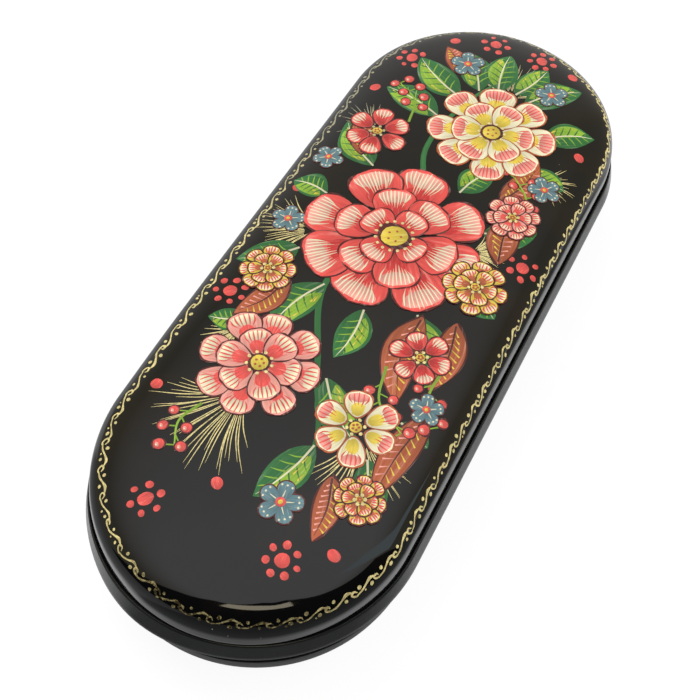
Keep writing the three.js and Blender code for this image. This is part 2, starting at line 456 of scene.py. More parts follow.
def mix_gloss_lacquer():
    """Polished black lacquer with faint brown clouds, a few specks and a slow swell in its gloss."""
    mixture = Mixture(bpy.data.materials.new("polished_black"))
    place = mixture.place()
    clouds = mixture.ramp(mixture.grain(place, scale=55, detail=4, roughness=0.6), (0.45, 0), (0.75, 1))
    ground = mixture.blend(clouds, settings().finish.gloss, BROWN_CLOUD)
    specks = mixture.node("TexVoronoi", None, {"Vector": place, "Scale": 210})
    few = mixture.grain(place, scale=75, detail=1) > 0.56
    dusted = mixture.blend((specks < 0.022) * few, ground, DUST)
    smudges = mixture.ramp(mixture.grain(place, scale=120, detail=5, roughness=0.65), (0.4, 0), (0.8, 1))
    swell = mixture.grain(place, scale=38, detail=2, roughness=0.4)
    return mixture.surface(
        {
            "Base Color": dusted,
            "Roughness": 0.035 + smudges * 0.05,
            "IOR": 1.52,
            "Normal": mixture.bump(swell, strength=0.10, distance=0.6 * MM),
        }
    )


def mix_satin_lacquer(name, satin, dullness, index):
    """Rubbed black lacquer with fine scratches that run along the case."""
    mixture = Mixture(bpy.data.materials.new(name))
    place = mixture.place()
    clouds = mixture.grain(place, scale=90, detail=4, roughness=0.6)
    scratches = mixture.grain(place, scale=2600, detail=3, roughness=0.6, stretch=(0.06, 0.06, 1))
    tone = mixture.blend(clouds, toned(satin, 0.7), toned(satin, 1.35))
    worn = mixture.ramp(scratches, (0.62, 0), (0.75, 1))
    wear_and_tip_shade = mixture.blend(worn * 0.35, tone, toned(satin, 2.6))
    pits = mixture.grain(place, scale=1800, detail=2)
    return mixture.surface(
        {
            "Base Color": wear_and_tip_shade,
            "Roughness": dullness + clouds * 0.12 + scratches * 0.08,
            "IOR": index,
            "Specular Tint": rgba(COOL_SHINE),
            "Normal": mixture.bump(pits + scratches, strength=0.12, distance=0.04 * MM),
        }
    )


def mix_sleeve_lacquer():
    """Thin black lacquer over board, brown where it wears."""
    mixture = Mixture(bpy.data.materials.new("sleeve_black"))
    place = mixture.place()
    sleeve = settings().finish.sleeve
    layers = mixture.grain(place, scale=1500, detail=3, roughness=0.6, stretch=(0.1, 0.1, 1))
    wear = mixture.ramp(mixture.grain(place, scale=160, detail=5, roughness=0.7), (0.55, 0), (0.85, 1))
    tone = mixture.blend(wear * 0.7, sleeve, BARE_BOARD)
    return mixture.surface(
        {
            "Base Color": tone,
            "Roughness": 0.26 + wear * 0.22,
            "IOR": 1.45,
            "Normal": mixture.bump(layers, strength=0.15, distance=0.05 * MM),
        }
    )


def mix_velvet():
    """Short-pile velvet: pile that leans this way and that, and a pale sheen."""
    mixture = Mixture(bpy.data.materials.new("pile_velvet"))
    place = mixture.place()
    velvet = settings().finish.velvet
    lean = mixture.ramp(mixture.grain(place, scale=95, detail=4, roughness=0.6), (0.35, 0), (0.7, 1))
    pile = mixture.grain(place, scale=3400, detail=2, roughness=0.7)
    leaned = mixture.blend(lean, toned(velvet, 0.8), toned(velvet, 1.18))
    tone = mixture.blend(pile * 0.55, leaned, toned(velvet, 0.3))
    return mixture.surface(
        {
            "Base Color": tone,
            "Roughness": 0.85 + pile * 0.12,
            "Sheen Weight": 0.55,
            "Sheen Roughness": 0.35,
            "Sheen Tint": rgba(PILE_SHEEN),
            "Normal": mixture.bump(pile, strength=0.6, distance=0.12 * MM),
        }
    )


def mix_brass():
    """Drawn brass, a little tarnished, with fine lines along the hinge."""
    mixture = Mixture(bpy.data.materials.new("aged_brass"))
    place = mixture.place()
    brass = settings().finish.brass
    tarnish = mixture.ramp(mixture.grain(place, scale=420, detail=4, roughness=0.6), (0.45, 0), (0.8, 1))
    lines = mixture.grain(place, scale=5200, detail=2, roughness=0.5, stretch=(0.05, 1, 1))
    tone = mixture.blend(tarnish * 0.7, brass, toned(brass, 0.42))
    return mixture.surface(
        {
            "Base Color": tone,
            "Metallic": 1.0,
            "Roughness": 0.24 + tarnish * 0.2 + lines * 0.08,
            "Normal": mixture.bump(lines, strength=0.15, distance=0.03 * MM),
        }
    )


def brush_marks(mixture, along, across):
    """Streaks that follow each touch of the brush, from its own marks, and how far along a touch lies."""
    marks = mixture.node("Attribute", {"attribute_name": "brush"}, None, 1)
    drawn = mixture.node("Mapping", None, {0: marks, 3: (along, across, 1)})
    streaks = mixture.node("TexNoise", None, {"Vector": drawn, "Scale": 1.0, "Detail": 3.0, "Roughness": 0.6})
    return streaks, mixture.part(marks, 0) * 0.5 + 0.5


def mix_paint(name, shade):
    """Brushed paint under the same clear gloss as the lid: darker where a touch begins, and streaked."""
    mixture = Mixture(bpy.data.materials.new(name))
    place = mixture.place()
    streaks, run = brush_marks(mixture, 0.8, 5.5)
    clouds = mixture.grain(place, scale=260, detail=3, roughness=0.5)
    body = mixture.blend(mixture.ramp(run, (0.05, 0), (0.85, 1)), toned(shade, 0.66), toned(shade, 1.08))
    dark = mixture.ramp(streaks, (0.50, 0), (0.68, 1))
    worked = mixture.blend(dark * 0.5, body, toned(shade, 0.52))
    light = mixture.ramp(streaks, (0.30, 1), (0.44, 0))
    warmed = mixture.blend(0.35, toned(shade, 1.2), WARM_WHITE)
    lifted = mixture.blend(light * 0.45, worked, warmed)
    tone = mixture.blend(mixture.ramp(clouds, (0.45, 0), (0.7, 1)) * 0.22, lifted, toned(shade, 0.6))
    return mixture.surface(
        {
            "Base Color": tone,
            "Roughness": 0.30 + streaks * 0.2,
            "IOR": 1.45,
            "Coat Weight": 0.5,
            "Coat Roughness": 0.06,
            "Coat IOR": 1.45,
            "Normal": mixture.bump(streaks, strength=0.15, distance=0.04 * MM),
        }
    )


def mix_gold():
    """Gold powder in clear lacquer, darkened at the near tip by painted shade, and greyer towards the far
    hinge side.
    """
    mixture = Mixture(bpy.data.materials.new("gold_leaf"))
    place = mixture.place()
    paint = settings().paint
    powder = mixture.grain(place, scale=2800, detail=3, roughness=0.7)
    streaks, _ = brush_marks(mixture, 2.5, 1.6)
    thin = streaks + mixture.grain(place, scale=1500, detail=2, roughness=0.6)
    sparse = mixture.ramp(thin, (0.95, 0), (1.3, 1))
    along = mixture.part(place, 0)
    across = mixture.part(place, 1)
    # Painted shade: the gold is darkened round the near tip, and more where it is laid thin
    wear_and_tip_shade = mixture.fade(along, -62 * MM, -77 * MM) * mixture.fade(across, 14 * MM, 3 * MM) * 0.86
    # The gold turns greyer towards the far hinge side
    dull = mixture.fade(along * 0.6 + across, 24 * MM, 50 * MM)
    laid = mixture.blend(sparse * 0.6, paint.gold, toned(paint.gold, 0.45))
    laid = mixture.blend(dull * 0.9, laid, paint.dull_gold)
    tone = mixture.blend(wear_and_tip_shade * (0.8 + sparse * 0.45), laid, GOLD_TIP_SHADE)
    return mixture.surface(
        {
            "Base Color": tone,
            "Metallic": 0.08 + powder * 0.24,
            "Roughness": 0.34 + powder * 0.24,
            "Normal": mixture.bump(powder, strength=0.25, distance=0.04 * MM),
        }
    )


# Meshes


def polar(centre, angle, distance):
    """A point at an angle and a distance from another."""
    return (centre[0] + distance * math.cos(angle), centre[1] + distance * math.sin(angle))


def share_of(value, whole):
    """How much of a whole a value is, from 0 to 1."""
    return min(max(value / whole, 0), 1)


def gathered(turn, middle, focus):
    """1 in one direction and less away from it, down to 0 at a right angle."""
    return max(math.cos(turn - middle), 0) ** focus


def bezier(start, first, second, end, steps):
    """Points on a curve through two guides, both ends with it."""
    points = []
    for step in range(steps + 1):
        t = step / steps
        weights = ((1 - t) ** 3, 3 * t * (1 - t) ** 2, 3 * t**2 * (1 - t), t**3)
        corners = (start, first, second, end)
        points.append(tuple(sum(w * c[axis] for w, c in zip(weights, corners)) for axis in (0, 1)))
    return points


def arc(centre, radius, begin, turn, steps=6):
    """Points on a part of a circle, by angles in degrees."""
    angles = [math.radians(begin + turn * step / steps) for step in range(steps + 1)]
    return [polar(centre, angle, radius) for angle in angles]


def line(start, end, steps):
    """Points on a straight line, without its ends."""
    shares = [step / steps for step in range(1, steps)]
    return [tuple(a + (b - a) * share for a, b in zip(start, end)) for share in shares]


def sweep(profile, closed=False, straight_steps=36, end_steps=72):
    """Carries a profile of (radius, height) points round the two straight sides and the two round ends."""
    bm = bmesh.new()
    row = [bm.verts.new((0, -radius, height)) for radius, height in profile]
    pairs = list(zip(row, row[1:]))
    if closed:
        pairs.append((row[-1], row[0]))
    edges = [bm.edges.new(pair) for pair in pairs]
    edges = extrude_row(bm, edges, END_X, straight_steps)
    turned = bmesh.ops.spin(
        bm,
        geom=edges + list({vert for edge in edges for vert in edge.verts}),
        cent=(END_X, 0, 0),
        axis=(0, 0, 1),
        angle=math.pi,
        steps=end_steps,
    )
    edges = [part for part in turned["geom_last"] if isinstance(part, bmesh.types.BMEdge)]
    extrude_row(bm, edges, -END_X, straight_steps)
    bmesh.ops.remove_doubles(bm, verts=bm.verts, dist=MERGE)
    bmesh.ops.mirror(bm, geom=bm.verts[:] + bm.edges[:] + bm.faces[:], axis="X", merge_dist=MERGE)
    bmesh.ops.remove_doubles(bm, verts=bm.verts, dist=MERGE)
    bmesh.ops.recalc_face_normals(bm, faces=bm.faces)
    return bm


def extrude_row(bm, edges, reach, steps):
    """Draws a row of edges along X in even steps and returns the last row."""
    for _ in range(steps):
        made = bmesh.ops.extrude_edge_only(bm, edges=edges)["geom"]
        verts = [part for part in made if isinstance(part, bmesh.types.BMVert)]
        edges = [part for part in made if isinstance(part, bmesh.types.BMEdge)]
        bmesh.ops.translate(bm, verts=verts, vec=(reach / steps, 0, 0))
    return edges


def soften(bm, limit=38):
    """Smooth shading, apart from the edges that turn more than a limit in degrees."""
    for face in bm.faces:
        face.smooth = True
    for edge in bm.edges:
        edge.smooth = edge.calc_face_angle(0) < math.radians(limit)


def add_piece(name, bm, material, body, stands_for=()):
    """Makes a mesh a finished piece that rides on a body."""
    soften(bm)
    mesh = bpy.data.meshes.new(name)
    bm.to_mesh(mesh)
    bm.free()
    mesh.materials.append(material)
    piece = bpy.data.objects.new(name, mesh)
    bpy.context.scene.collection.objects.link(piece)
    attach(piece, body)
    if stands_for:
        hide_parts(*stands_for)
    return piece


def material_named(name, mix, *values):
    """A material by name, mixed at its first use."""
    return bpy.data.materials.get(name) or mix(*values)


def carve(bm, cutters):
    """Cuts solids out of a closed mesh."""
    whole = bpy.data.objects.new("whole", bpy.data.meshes.new("whole"))
    bm.to_mesh(whole.data)
    bm.free()
    bpy.context.scene.collection.objects.link(whole)
    tools = []
    for cutter in cutters:
        tool = bpy.data.objects.new("cutter", bpy.data.meshes.new("cutter"))
        cutter.to_mesh(tool.data)
        cutter.free()
        bpy.context.scene.collection.objects.link(tool)
        recess = whole.modifiers.new("recess", "BOOLEAN")
        recess.operation = "DIFFERENCE"
        recess.solver = "EXACT"
        recess.object = tool
        tools.append(tool)
    bpy.context.view_layer.update()
    carved = bmesh.new()
    carved.from_object(whole, bpy.context.evaluated_depsgraph_get())
    for helper in [whole, *tools]:
        mesh = helper.data
        bpy.data.objects.remove(helper)
        bpy.data.meshes.remove(mesh)
    return carved


def hinge_recesses(low_z, high_z):
    """Blocks that clear the leaves between two heights, and bars that clear the barrels."""
    sizes = settings().hinge
    half = (LEAF_HIGH.x - LEAF_LOW.x) / 2 + sizes.seat_gap
    inner_y = LEAF_LOW.y - sizes.seat_gap
    outer_y = RIM_HIGH.y + CUT_PAST
    blocks = bmesh.new()
    bars = bmesh.new()
    for x in (-HINGE_X, HINGE_X):
        centre = Vector((x, (inner_y + outer_y) / 2, (low_z + high_z) / 2))
        reach = Matrix.Diagonal((2 * half, outer_y - inner_y, high_z - low_z, 1))
        bmesh.ops.create_cube(blocks, size=1, matrix=Matrix.Translation(centre) @ reach)
        bmesh.ops.create_cone(
            bars,
            cap_ends=True,
            segments=32,
            radius1=sizes.barrel_room,
            radius2=sizes.barrel_room,
            depth=2 * half,
            matrix=Matrix.Translation(HINGE_AXIS + Vector((x, 0, 0))) @ Matrix.Rotation(math.pi / 2, 4, "Y"),
        )
    return [blocks, bars]


class LidSurface:
    """Looks up places on the lid's outside."""

    def __init__(self):
        points = lid_curve(LOOKUP_STEPS)
        self.radii = [radius for radius, _ in points]
        self.heights = [height for _, height in points]
        self.lengths = [0.0]
        for (r0, z0), (r1, z1) in zip(points, points[1:]):
            self.lengths.append(self.lengths[-1] + math.hypot(r1 - r0, z1 - z0))

    @staticmethod
    def _read(keys, values, key):
        """The value that belongs to a key, even between two known ones."""
        after = min(max(bisect.bisect_left(keys, key), 1), len(keys) - 1)
        share = (key - keys[after - 1]) / (keys[after] - keys[after - 1])
        return values[after - 1] + (values[after] - values[after - 1]) * share

    def on_crown(self, x, y, lift):
        """The point over a place in plan, in metres."""
        radius = math.hypot(max(abs(x) - END_X, 0), y)
        return as_made(Vector((x, y, self._read(self.radii, self.heights, radius) + lift)))

    def at_inset(self, inset):
        """How far down the shoulder a plan inset from the side lies, along the surface."""
        return self._read(self.radii, self.lengths, LID_RADIUS - inset)

    def on_shoulder(self, centre_x, turn, down, lift):
        """The point at a distance down the shoulder, seen from a centre at an angle."""
        radius = self._read(self.lengths, self.radii, down)
        height = self._read(self.lengths, self.heights, down)
        step = 0.02 * MM
        out = self._read(self.lengths, self.radii, down + step) - radius
        fall = height - self._read(self.lengths, self.heights, down + step)
        slope = math.hypot(out, fall)
        radius += lift * fall / slope
        height += lift * out / slope
        return as_made(Vector((centre_x + radius * math.cos(turn), radius * math.sin(turn), height)))


def lid_curve(steps):
    """The lid's outside from the middle of the crown to the top of its side."""
    sizes = settings().lid
    top = LID_HIGH.z
    foot = Vector((LID_RADIUS + sizes.flare, LID_LOW.z))
    side = foot + Vector((-sizes.side_lean, sizes.side_height))
    guide = side + (side - foot).normalized() * sizes.shoulder_rise
    return bezier((0, top), (sizes.crown_reach, top), guide, side, steps)


def as_made(place):
    """Where the hand-made lid has a point: longer ends, a bowed hinge side and a corner tucked in."""
    sizes = settings().lid
    height = place.z - LID_LOW.z
    far = max(place.x - END_X, 0) / LID_RADIUS
    near = max(-place.x - END_X, 0) / LID_RADIUS
    away = place.x - BOW_X
    swell = 0.5 + 0.5 * math.cos(math.pi * share_of(abs(away), BOW_FAR if away > 0 else BOW_NEAR))
    side = max(place.y, 0) / LID_RADIUS
    bow = sizes.hinge_bow * swell * share_of(height - BOW_START, BOW_RISE) * side * side
    out = Vector((place.x + END_X, place.y, 0)).normalized()
    corner = gathered(math.atan2(out.y, out.x), TUCK_TURN, TUCK_FOCUS)
    tuck = out * sizes.corner_tuck * (1 - share_of(height, sizes.tuck_rise)) * corner
    stretch = Vector((far * sizes.far_reach - near * sizes.near_reach, bow - near * sizes.near_sway, 0))
    return place + stretch - tuck


# Painting


def through(a, b, c, d, t):
    """A value on a smooth curve from b to c, which a leads in and d leads out."""
    return 0.5 * (2 * b + (c - a) * t + (2 * a - 5 * b + 4 * c - d) * t**2 + (3 * b - a - 3 * c + d) * t**3)


def smooth_line(points, steps):
    """A smooth line through points of any number of values."""
    first = [2 * a - b for a, b in zip(points[0], points[1])]
    last = [2 * a - b for a, b in zip(points[-1], points[-2])]
    rows = [first, *points, last]
    samples = []
    for before, start, end, after in zip(rows, rows[1:], rows[2:], rows[3:]):
        for step in range(steps):
            values = zip(before, start, end, after)
            samples.append([through(*value, step / steps) for value in values])
    return [*samples, list(points[-1])]


class Brush:
    """Paints flat shapes in millimetres, one mesh for each paint; a shape's height is its layer."""

    layer_step = 0.006
    first_lift = 0.02
    cut_spacing = 2.0
    shoulder_spacing = 0.7
    shoulder_radius = 19.0
    dot_sides = 14
    least_width = 0.03
    frills = 9
    # Waves round a dab's edge, and their height
    wavers = ((3, 0.018), (5, 0.014))
    # Marks that keep the streaks of two touches apart
    last_mark = 90

    def __init__(self, seed):
        self.pots = {}
        self.hand = random.Random(seed)

    def pot(self, paint):
        """The mesh that holds one paint."""
        if paint not in self.pots:
            self.pots[paint] = bmesh.new()
            self.pots[paint].verts.layers.float_vector.new("brush")
        return self.pots[paint]

    def lift(self, layer):
        """The height of a layer."""
        return self.first_lift + layer * self.layer_step

    def cut(self, pot, parts, axis, reach, place):
        """Cuts a disc of radius 1 across an axis, so that it follows the dome, and finer on the shoulder."""
        radius = math.hypot(max(abs(place[0]) - END_X / MM, 0), place[1])
        count = int(reach / (self.shoulder_spacing if radius > self.shoulder_radius else self.cut_spacing))
        for index in range(count):
            at = [0, 0, 0]
            at[axis] = -1 + 2 * (index + 1) / (count + 1)
            across = [0, 0, 0]
            across[axis] = 1
            made = bmesh.ops.bisect_plane(pot, geom=parts, dist=1e-5, plane_co=at, plane_no=across)
            parts = made["geom"]
        return parts

    def dab(self, paint, place, size, turn=0.0, layer=0, taper=0.0, point=0.0, bend=0.0, frill=0.0, sides=28):
        """A disc drawn out to a length and a width, turned, narrowed to one end, pointed, bent or frilled."""
        pot = self.pot(paint)
        reach, width = size
        verts = bmesh.ops.create_circle(pot, cap_ends=True, segments=sides, radius=1)["verts"]
        parts = [*verts, *{edge for vert in verts for edge in vert.link_edges}, *verts[0].link_faces]
        parts = self.cut(pot, parts, 0, reach, place)
        parts = self.cut(pot, parts, 1, width, place)
        phases = [self.hand.uniform(0, math.tau) for _ in self.wavers]
        mark = self.hand.uniform(0, self.last_mark)
        marks = pot.verts.layers.float_vector["brush"]
        for vert in parts:
            if not isinstance(vert, bmesh.types.BMVert):
                continue
            along, across = vert.co.x, vert.co.y
            vert[marks] = (along, across, mark)
            angle = math.atan2(across, along)
            waver = 1 + frill * math.cos(self.frills * angle + phases[0]) * max(math.cos(angle), 0)
            for phase, (count, height) in zip(phases, self.wavers):
                waver += height * math.sin(count * angle + phase)
            half = math.sqrt(max(1 - along * along, 1e-9))
            across *= half**point * (1 - taper * along) * waver * width / 2
            across += bend * (1 - along * along)
            along *= waver * reach / 2
            vert.co = (
                place[0] + along * math.cos(turn) - across * math.sin(turn),
                place[1] + along * math.sin(turn) + across * math.cos(turn),
                self.lift(layer),
            )

    def dot(self, paint, place, width, layer=0):
        """A small round touch of the brush, not quite round."""
        stretch = self.hand.uniform(0.9, 1.12)
        size = (width * stretch, width / stretch)
        self.dab(paint, place, size, self.hand.uniform(0, 3), layer, sides=self.dot_sides)

    def stroke(self, paint, points, widths, layer=0, steps=5):
        """A ribbon along a smooth line through points, as wide at each as its width."""
        pot = self.pot(paint)
        rows = smooth_line([(*point, width) for point, width in zip(points, widths)], steps)
        last = len(rows) - 1
        mark = self.hand.uniform(0, self.last_mark)
        marks = pot.verts.layers.float_vector["brush"]
        for vert in bmesh.ops.create_grid(pot, x_segments=last, y_segments=1, size=1)["verts"]:
            vert[marks] = (vert.co.x, vert.co.y, mark)
            index = round((vert.co.x + 1) / 2 * last)
            x, y, width = rows[index]
            before = rows[max(index - 1, 0)]
            after = rows[min(index + 1, last)]
            turn = math.atan2(after[1] - before[1], after[0] - before[0])
            away = vert.co.y * max(width, self.least_width) / 2
            vert.co = (x - away * math.sin(turn), y + away * math.cos(turn), self.lift(layer))

    def pieces(self, place_on_lid):
        """Every paint as a closed shell on the lid, its underside just inside the lacquer."""
        for paint, pot in self.pots.items():
            under = pot.verts[:]
            bmesh.ops.extrude_face_region(pot, geom=pot.faces[:], use_keep_orig=True)
            for vert in under:
                vert.co.z = -self.first_lift
            for vert in pot.verts:
                vert.co = place_on_lid(*(vert.co * MM))
            pot.normal_update()
            bmesh.ops.recalc_face_normals(pot, faces=pot.faces)
            yield paint, pot


# Motifs. Plain numbers in them are shares of a motif's own size, or widths of strokes in millimetres


def paint_petal(brush, heart, angle, reach, size, paints, layer):
    """One petal: a dark edge, its body, a deep base, a blush at the lip and fine strokes along it."""
    petal_length, width = size
    edge, body, deep, blush, light = paints
    side = angle + math.pi / 2
    middle = polar(heart, angle, reach + petal_length / 2)
    brush.dab(edge, middle, (petal_length + 0.6, width + 0.6), angle, layer, taper=-0.28, frill=0.025)
    brush.dab(body, middle, (petal_length, width), angle, layer + 1, taper=-0.28, frill=0.025)
    base = polar(heart, angle, reach + petal_length * 0.30)
    brush.dab(deep, base, (petal_length * 0.52, width * 0.50), angle, layer + 2, taper=-0.2)
    lip = polar(heart, angle, reach + petal_length * 0.76)
    brush.dab(blush, lip, (petal_length * 0.36, width * 0.80), angle, layer + 2, taper=-0.1, frill=0.03)
    count = max(5, round(width * 0.95))
    for index in range(count):
        share = (2 * index / (count - 1) - 1) * 0.84
        jitter = brush.hand.uniform(-0.09, 0.09)
        outer = polar(heart, angle, reach + petal_length * (0.95 - 0.17 * share * share + jitter / 3))
        inner = polar(heart, angle, reach + petal_length * (0.42 + 0.1 * abs(share) + jitter))
        start = polar(inner, side, share * width * 0.27)
        end = polar(outer, side, share * width * 0.45)
        middle = polar(((start[0] + end[0]) / 2, (start[1] + end[1]) / 2), side, share * 0.3 + jitter)
        weight = brush.hand.uniform(0.75, 1.2)
        brush.stroke(light, [start, middle, end], [0.04, 0.34 * weight, 0.16], layer + 3, steps=4)
    for share in (-0.5, -0.2, 0.1, 0.4):
        tilt = share + brush.hand.uniform(-0.1, 0.1)
        start = polar(polar(heart, angle, reach + petal_length * 0.1), side, tilt * width * 0.3)
        far = reach + petal_length * brush.hand.uniform(0.48, 0.62)
        end = polar(polar(heart, angle, far), side, tilt * width * 0.62)
        brush.stroke(deep, [start, end], [0.4, 0.05], layer + 3, steps=4)


def paint_blossom(brush, heart, radius, rings, paints, layer, turn):
    """A full blossom: rings of petals, every other one on top, and a heart of dots."""
    for count, reach, petal_length, width in rings:
        for index in range(count):
            angle = turn + math.tau * index / count + brush.hand.uniform(-0.07, 0.07)
            grown = brush.hand.uniform(0.93, 1.06) * radius
            size = (petal_length * grown, width * radius * brush.hand.uniform(0.94, 1.06))
            paint_petal(brush, heart, angle, reach * radius, size, paints, layer + 4 * (index % 2))
        layer += 8
        turn += math.pi / count * 1.3
    brush.dot("maroon", heart, radius * 0.36, layer)
    brush.dot("yellow", heart, radius * 0.28, layer + 1)
    dots = max(int(radius * 0.75), 6)
    for index in range(dots):
        brush.dot("gold", polar(heart, math.tau * index / dots, radius * 0.20), 0.7, layer + 2)
    for index in range(5):
        brush.dot("brown", polar(heart, math.tau * index / 5, radius * 0.07), 0.55, layer + 2)


def paint_leaf(brush, root, angle, size, layer, bend=0.0):
    """A leaf: dark ground, a light half, veins and a pale rib."""
    leaf_length, width = size
    side = angle + math.pi / 2

    def spot(along, across):
        """A place on the leaf, by shares of its length and half its width."""
        run = 2 * along - 1
        away = bend * (1 - run * run) + across * width / 2 * (1 - run * run)
        return polar(polar(root, angle, along * leaf_length), side, away)

    middle = polar(root, angle, leaf_length / 2)
    brush.dab("dark_green", middle, (leaf_length, width), angle, layer, taper=0.12, point=0.8, bend=bend)
    light_side = polar(middle, side, width * 0.17)
    light_size = (leaf_length * 0.74, width * 0.46)
    brush.dab("light_green", light_side, light_size, angle, layer + 1, taper=0.12, point=0.7, bend=bend)
    for along in (0.2, 0.34, 0.48, 0.62, 0.76):
        for across, paint in ((0.75, "dark_green"), (-0.8, "light_green")):
            vein = [spot(along, 0), spot(along + 0.07, across * 0.5), spot(along + 0.12, across)]
            brush.stroke(paint, vein, [0.3, 0.28, 0.06], layer + 2)
    for index in range(round(leaf_length * 0.9)):
        along = brush.hand.uniform(0.12, 0.8)
        across = brush.hand.uniform(0.1, 0.75)
        hatch = [spot(along, across), spot(along + 0.12, across * 0.95)]
        brush.stroke("yellow" if index % 3 == 0 else "light_green", hatch, [0.08, 0.3], layer + 2, steps=2)
    rib = [spot(0, 0), spot(0.35, 0), spot(0.7, 0), spot(0.97, 0)]
    brush.stroke("cream", rib, [0.45, 0.38, 0.25, 0.05], layer + 3)


def paint_husk(brush, root, angle, size, layer, bend=0.0):
    """A brown autumn leaf with warm strokes and a pale edge."""
    husk_length, width = size
    middle = polar(root, angle, husk_length / 2)
    side = angle + math.pi / 2
    for paint, size, lift in (("maroon", (husk_length + 0.8, width + 0.7), 0), ("brown", size, 1)):
        brush.dab(paint, middle, size, angle, layer + lift, taper=0.2, point=0.7, bend=bend)
    for index in range(9):
        along = 0.12 + 0.085 * index
        run = 2 * along - 1
        base = polar(polar(root, angle, along * husk_length), side, bend * (1 - run * run))
        room = 0.36 * width * (1 - run * run) * (1 - 0.2 * run)
        for share, paint in ((1, "yellow"), (-1, "pink")):
            ahead = polar(base, angle, husk_length * 0.06)
            tip = polar(ahead, side, share * room * brush.hand.uniform(0.8, 1.0))
            brush.stroke(paint, [base, tip], [0.08, 0.36], layer + 2)
    foot = polar(root, angle, husk_length * 0.04)
    rib = [foot, polar(middle, side, bend), polar(root, angle, husk_length * 0.93)]
    brush.stroke("maroon", rib, [0.4, 0.3, 0.06], layer + 3)


def paint_berry(brush, place, width, layer):
    """A berry with a dark rim, a blush and a light."""
    brush.dot("maroon", place, width + 0.5, layer)
    brush.dot("coral", place, width, layer + 1)
    blush = polar(place, 2.4, width * 0.16)
    brush.dab("pink", blush, (width * 0.5, width * 0.32), 0.8, layer + 2, sides=brush.dot_sides)
    brush.dot("cream", polar(place, 2.4, width * 0.22), width * 0.18, layer + 3)


def paint_spray(brush, root, angle, reach, count, layer):
    """A curved stem with berries on short stalks."""
    tip = polar(root, angle + 0.25, reach)
    middle = polar(root, angle - 0.1, reach * 0.55)
    brush.stroke("light_green", [root, middle, tip], [0.6, 0.45, 0.25], layer, steps=8)
    rows = smooth_line([root, middle, tip], 12)
    for index in range(count):
        at = rows[int(6 + (len(rows) - 7) * index / max(count - 1, 1))]
        side = angle + (1.15 if index % 2 else -0.95)
        end = polar(at, side, brush.hand.uniform(2.4, 3.4))
        brush.stroke("light_green", [at, end], [0.32, 0.2], layer)
        paint_berry(brush, end, brush.hand.uniform(1.7, 2.3), layer + 1)


def paint_starflower(brush, heart, radius, layer, turn=0.0):
    """A small grey-blue flower with pale dots."""
    for index in range(5):
        angle = turn + math.tau * index / 5
        place = polar(heart, angle, radius * 0.58)
        brush.dab("maroon", place, (radius * 0.98, radius * 0.84), angle, layer, taper=-0.2)
        brush.dab("teal", place, (radius * 0.86, radius * 0.72), angle, layer + 1, taper=-0.2)
        for share in (-0.3, 0, 0.3):
            brush.dot("cream", polar(heart, angle + share, radius * 0.82), 0.42, layer + 2)
        ray = [polar(heart, angle, radius * 0.25), polar(heart, angle, radius * 0.6)]
        brush.stroke("cream", ray, [0.3, 0.06], layer + 2)
    brush.dot("coral", heart, radius * 0.46, layer + 3)
    brush.dot("yellow", heart, radius * 0.22, layer + 4)


def paint_gold_fan(brush, root, angle, spread, count, reach):
    """Hair-fine gold strokes that fan out from a root."""
    for index in range(count):
        share = index / max(count - 1, 1) - 0.5
        turn = angle + spread * share + brush.hand.uniform(-0.04, 0.04)
        far = reach * brush.hand.uniform(0.72, 1.05) * (1 - 0.5 * share * share)
        curl = share * 0.5 + brush.hand.uniform(-0.06, 0.06)
        start = polar(root, turn, far * 0.25)
        middle = polar(root, turn + curl * 0.25, far * 0.65)
        brush.stroke("gold", [start, middle, polar(root, turn + curl * 0.6, far)], [0.10, 0.21, 0.05], 0)


def paint_rosette(brush, place, petals, layer=0):
    """A rosette of red dots on the black ground."""
    brush.dot("coral", place, 2.8, layer)
    turn = brush.hand.uniform(0, 1)
    for index in range(petals):
        angle = turn + math.tau * index / petals
        ring = polar(place, angle, brush.hand.uniform(2.75, 3.05))
        brush.dot("coral", ring, brush.hand.uniform(1.15, 1.7), layer)


# Rings of petals: number, and reach, length and width in shares of the blossom's radius
PEONY_RINGS = ((8, 0.40, 0.58, 0.56), (6, 0.20, 0.48, 0.46), (4, 0.06, 0.34, 0.36))
ROSE_RINGS = ((8, 0.42, 0.56, 0.52), (6, 0.14, 0.52, 0.48))
DAISY_RINGS = ((6, 0.26, 0.70, 0.58),)

# A petal's paints: edge, body, deep base, blush and fine strokes
CORAL_PAINTS = ("maroon", "coral", "crimson", "pink", "cream")
CREAM_PAINTS = ("brown", "cream", "yellow", "pink", "coral")
PINK_PAINTS = ("maroon", "pink", "coral", "cream", "coral")
AMBER_PAINTS = ("maroon", "yellow", "brown", "cream", "coral")

# Layers of the garland, from the ground up
VINE_LAYER = 1
LEAF_LAYER = 2
HUSK_LAYER = 6
SPRAY_LAYER = 10
STAR_LAYER = 15
BLOSSOM_LAYER = 16
TOP_LAYER = 36

# Start of the hand's small variations
GARLAND_SEED = 7

# Places on the crown are in millimetres from its middle, and angles in radians
# Fans of gold strokes: root, angle, spread, number and reach
GOLD_FANS = (
    ((58, -4), 0.15, 2.2, 34, 13),
    ((-40, 9), 2.75, 1.6, 30, 19),
    ((2, 16), 1.9, 1.5, 24, 13),
    ((12, -15), -1.1, 1.5, 24, 8.5),
    ((-38, -15), -2.7, 1.5, 24, 14),
    ((34, 18), 1.2, 1.5, 20, 10),
    ((-27, 17), 2.6, 0.9, 18, 9),
    ((38, -19), -1.4, 1.3, 16, 9),
)

# The stem that runs through the garland, and its width at each place
VINE = ((-58, -5), (-44, -8), (-28, 0), (-8, 8), (14, -2), (34, 6), (52, 4), (66, -2))
VINE_WIDTHS = (0.3, 0.9, 1.2, 1.3, 1.3, 1.2, 0.9, 0.3)

